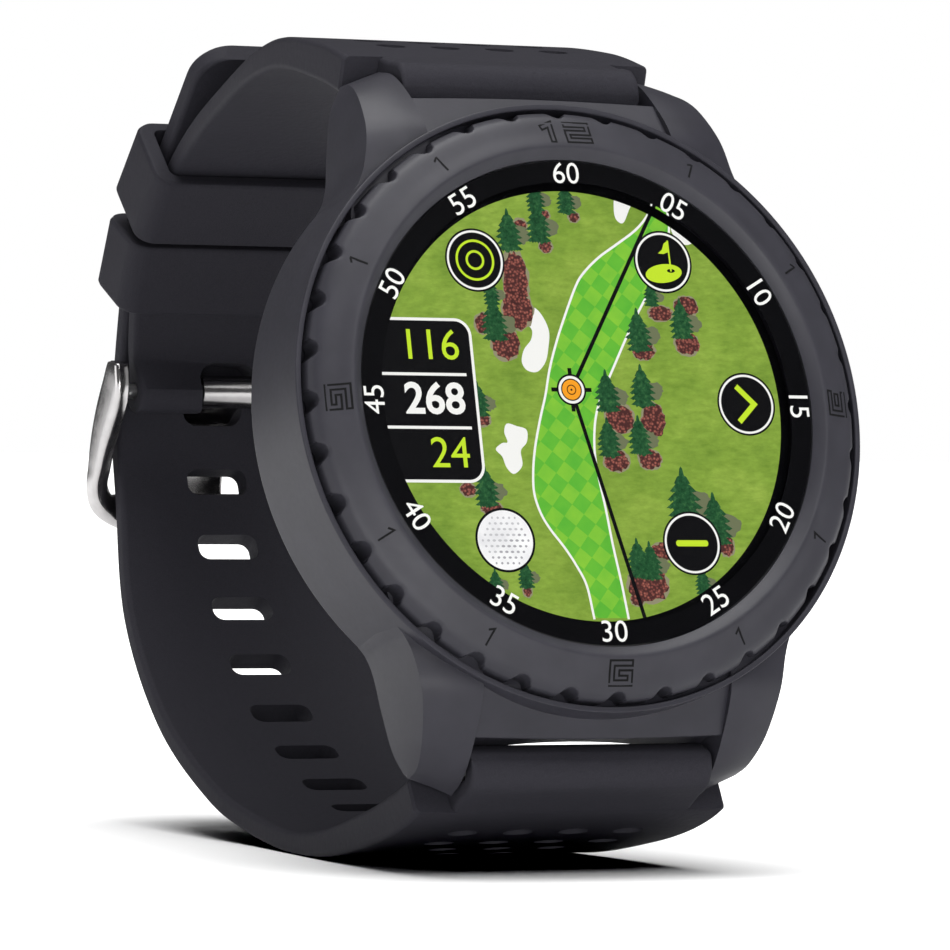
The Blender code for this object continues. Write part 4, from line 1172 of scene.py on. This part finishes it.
def make_keeper(name, back, tilt, stack, length):
    """A rubber loop: rounded outside, its rims softly crowned."""
    lift = (stack - STRAP_THICK) / 2 - KEEPER_SLACK
    here = UPPER_CAD.frame(UPPER_CAD.total - back, lift) @ Matrix.Rotation(math.radians(tilt), 4, "X")
    half = length / 2
    rows = []
    for y, shrink in ((-half, 0.42), (-half + 0.12, 0.18), (-half + 0.42, 0.0), (half - 0.42, 0.0),
                      (half - 0.12, 0.18), (half, 0.42)):
        outline = rounded_rectangle(KEEPER_HALF - shrink, stack / 2 + KEEPER_WALL - shrink, 1.8 - shrink)
        rows.append([here @ Vector((x, y, z)) for x, z in outline])
    inner = rounded_rectangle(KEEPER_INNER_HALF, stack / 2, 0.7)
    cutter = loft([[here @ Vector((x, y, z)) for x, z in inner] for y in (-6.0, 6.0)])
    piece(f"{name}_loop", applied(loft(rows), [cutter], bevel=0.12, angle=60), MATS["keeper"], name,
          (name,))


# ---------------------------------------------------------------- buckle
# sideways, deeper, higher (from the bar), width across the sweep, thickness outwards, outward tilt
ARM = ((0.0, -1.2, 2.3, 1.1, 1.6, 28), (0.0, -1.0, 1.9, 1.5, 2.6, 28), (0.0, 0.1, 0.0, 1.5, 4.0, 28),
       (0.0, 2.0, -1.8, 1.5, 3.9, 26), (0.0, 3.7, -3.6, 1.5, 3.3, 22), (0.0, 5.1, -5.6, 1.5, 2.6, 12),
       (-0.1, 6.2, -7.3, 1.6, 2.0, 0), (-0.9, 6.8, -8.7, 2.2, 1.8, -10), (-3.0, 6.9, -9.3, 3.4, 1.6, -12),
       (-6.0, 6.9, -9.3, 3.4, 1.6, -12))


def make_buckle():
    bd, bh = BUCKLE_BAR
    mid = (BUCKLE_INNER + BUCKLE_OUTER) / 2
    left = [(-mid - x, bd + d, bh + h, w, t, tilt) for x, d, h, w, t, tilt in ARM]
    right = [(mid + x, bd + d, bh + h, w, t, tilt) for x, d, h, w, t, tilt in ARM]
    line = curve_through(left + right[::-1], 6)
    sections = []
    for k, (x, d, h, wide, deep, tilt) in enumerate(line):
        a, b = line[max(k - 1, 0)], line[min(k + 1, len(line) - 1)]
        run = Vector((b[0] - a[0], b[2] - a[2], a[1] - b[1])).normalized()
        out = Vector((0.0, math.sin(math.radians(tilt)), -math.cos(math.radians(tilt))))
        out = (out - run * out.dot(run)).normalized()
        across = run.cross(out)
        at = Vector((x, h, -d))
        sections.append(soft_box(at, across, out, wide / 2, deep / 2, (0.55, 0.55), 24))
    inner, outer = BUCKLE_INNER - 0.5, BUCKLE_INNER + 1.3
    holes = [rod((s * inner, bh, -bd), (s * outer, bh, -bd), PIN_R + 0.06, 20) for s in (-1, 1)]
    piece("buckle_bow", applied(loft(sections), [merged(holes)]), MATS["buckle"], body="buckle_frame",
          stands_for=("buckle_frame",))


TONGUE_LINE = ((0.7, -0.3), (1.9, -0.3), (3.2, -0.4), (4.5, -0.7), (5.8, -1.5), (6.9, -3.0), (7.9, -5.0),
               (8.7, -7.0), (8.85, -8.4), (8.6, -10.3))


def make_tongue():
    bd, bh = BUCKLE_BAR
    line = curve_through([(bd + d, bh + h) for d, h in TONGUE_LINE], 8)
    sections = []
    for k, (d, h) in enumerate(line):
        a, b = line[max(k - 1, 0)], line[min(k + 1, len(line) - 1)]
        angle = math.atan2(b[1] - a[1], b[0] - a[0])
        n = Vector((0.0, math.cos(angle), math.sin(angle)))
        left_over = (len(line) - 1 - k) / 8
        w = TONGUE_W / 2 - (0.9 * (1 - left_over) ** 2 if left_over < 1 else 0.0)
        at = Vector((0.0, h, -d))
        sections.append(soft_box(at, Vector((1.0, 0.0, 0.0)), n, w, TONGUE_THICK / 2, (0.3, 0.5), 20))
    eye = rod((-TONGUE_W / 2, bh, -bd), (TONGUE_W / 2, bh, -bd), 1.45, 48)
    piece("buckle_pin_tongue", applied(loft(sections), [bar_hole(bd, bh, 6.0, 0.75)], [eye]), MATS["buckle"],
          body="buckle_tongue", stands_for=("buckle_tongue",))


# ---------------------------------------------------------------- the rest of the CAD nodes
def dress_nodes():
    """Materials for the inner and small CAD nodes, whose shapes are right as they are."""
    board = grained("board_green", (0.015, 0.13, 0.055), 0.35, grain=6.0)
    foil = steel("battery_foil", (0.60, 0.61, 0.63), 0.38)
    ceramic = grained("ceramic_pale", (0.66, 0.62, 0.54), 0.55, grain=8.0)
    gold = steel("contact_gold", (0.80, 0.58, 0.24), 0.22)
    gasket = grained("gasket_black", (0.02, 0.02, 0.02), 0.7)
    red = grained("gasket_red", (0.25, 0.04, 0.03), 0.6)
    film = grained("flex_amber", (0.45, 0.18, 0.03), 0.4)
    black = grained("inner_black", (0.04, 0.04, 0.043), 0.5)
    looks = {
        "main_board": board, "battery": foil, "gps_antenna": ceramic, "display_flex": film,
        "case_back_gasket": red, "glass_gasket": gasket, "button_seal": gasket, "display_frame": black,
        "display_panel": black, "button_switch": black,
    }
    for name, obj in frame["nodes"].items():
        mat = looks.get(name)
        if mat is None:
            mat = gold if name.startswith("charging_contact") else MATS["bar"]
        obj.data.materials.clear()
        obj.data.materials.append(mat)
        obj.data.shade_smooth()
        obj.data.set_sharp_from_angle(angle=math.radians(35))


# ---------------------------------------------------------------- studio
# the camera in the dial's frame, millimetres
CAMERA_AT = Vector((-248.76, -126.25, 473.84))
CAMERA_AHEAD = Vector((0.43734, 0.22084, -0.87176))
CAMERA_UP = Vector((-0.00773, 0.97027, 0.24192))
CAMERA_LENS = 262.15


def make_camera():
    data = bpy.data.cameras.new("camera")
    data.lens = CAMERA_LENS
    data.sensor_width = 36.0
    data.clip_start = 0.01
    back = -CAMERA_AHEAD.normalized()
    right = CAMERA_UP.cross(back).normalized()
    up = back.cross(right)
    turn = Matrix((right, up, back)).transposed()
    obj = placed("camera", data)
    world = DIAL.to_3x3().normalized() @ turn
    obj.matrix_world = Matrix.Translation(DIAL @ CAMERA_AT) @ world.to_4x4()
    bpy.context.scene.camera = obj


AIMED_AT = Vector((0.0, 0.0, 0.03))
# area lights: name, place and size in metres, watts
LIGHTS = (
    ("key", (0.10, -0.60, 0.62), (0.45, 0.35), 2.6), ("fill", (0.60, -0.45, 0.30), (0.5, 0.5), 0.35),
    ("top", (-0.10, 0.12, 0.70), (0.6, 0.6), 1.6), ("rim", (-0.65, 0.25, 0.20), (0.4, 0.4), 1.1),
    ("low", (-0.20, -0.70, 0.035), (0.5, 0.06), 2.8),
)
FLOOR_FADE = 1.0 / 0.15      # the floor glows softly from this far out, in 1/m; nearer in the glow fades and goes below zero under the watch, a painted shadow
FLOOR_HALF = 3


def make_studio():
    a = FLOOR_HALF
    floor = bpy.data.meshes.new("floor")
    floor.from_pydata([(-a, -a, 0), (a, -a, 0), (a, a, 0), (-a, a, 0)], [], [(0, 1, 2, 3)])
    mat, net = new_material("floor_white_painted_shadow", (0.98, 0.98, 0.98), 0.9, shine=0.0)
    net.shader.inputs["Emission Color"].default_value = (1.0, 1.0, 1.0, 1.0)
    far = net.node("TexGradient")
    far.gradient_type = "SPHERICAL"
    net.links.new(net.coords(scale=(FLOOR_FADE, FLOOR_FADE, FLOOR_FADE)), far.inputs["Vector"])
    # painted shadow: the glow runs from 0.25 far out down to -0.17 under the watch, darkening the floor
    # round it
    net.drive(net.spread(far.outputs["Fac"], 0.25, -0.17), "Emission Strength")
    net.bump(net.noise(net.coords(), 0.5, 3.0), 0.02, 0.00005)
    floor.materials.append(mat)
    placed("floor", floor)
    for name, at, size, power in LIGHTS:
        data = bpy.data.lights.new(name, "AREA")
        data.shape = "RECTANGLE"
        data.size, data.size_y = size
        data.energy = power
        obj = placed(name, data)
        obj.location = at
        obj.rotation_euler = (AIMED_AT - Vector(at)).to_track_quat("-Z", "Y").to_euler()
    sun = bpy.data.lights.new("sky", "SUN")
    sun.energy = 3.6
    sun.angle = math.radians(50)
    placed("sky", sun).rotation_euler = (math.radians(4), 0.0, 0.0)
    world = bpy.data.worlds.new("studio")
    world.use_nodes = True
    net = Net(world.node_tree)
    seen = net.nodes["Background"]
    seen.inputs["Color"].default_value = (1.0, 1.0, 1.0, 1.0)
    path = net.node("LightPath")
    net.links.new(net.spread(path.outputs["Is Camera Ray"], 0.10, 1.0), seen.inputs["Strength"])
    bpy.context.scene.world = world
    bpy.context.scene.view_settings.view_transform = "Standard"


# ---------------------------------------------------------------- build
dress_nodes()
make_case()
make_case_back()
make_screw_heads()
make_bezel()
WHITE, INK = make_map()
LIME_MAT = make_icons(WHITE, INK)
make_panel(WHITE, INK, LIME_MAT)
make_minute_ring(WHITE)
make_glass()
make_button()
make_upper_strap()
make_lower_strap()
for keeper in KEEPERS:
    make_keeper(*keeper)
make_buckle()
make_tongue()
make_camera()
make_studio()
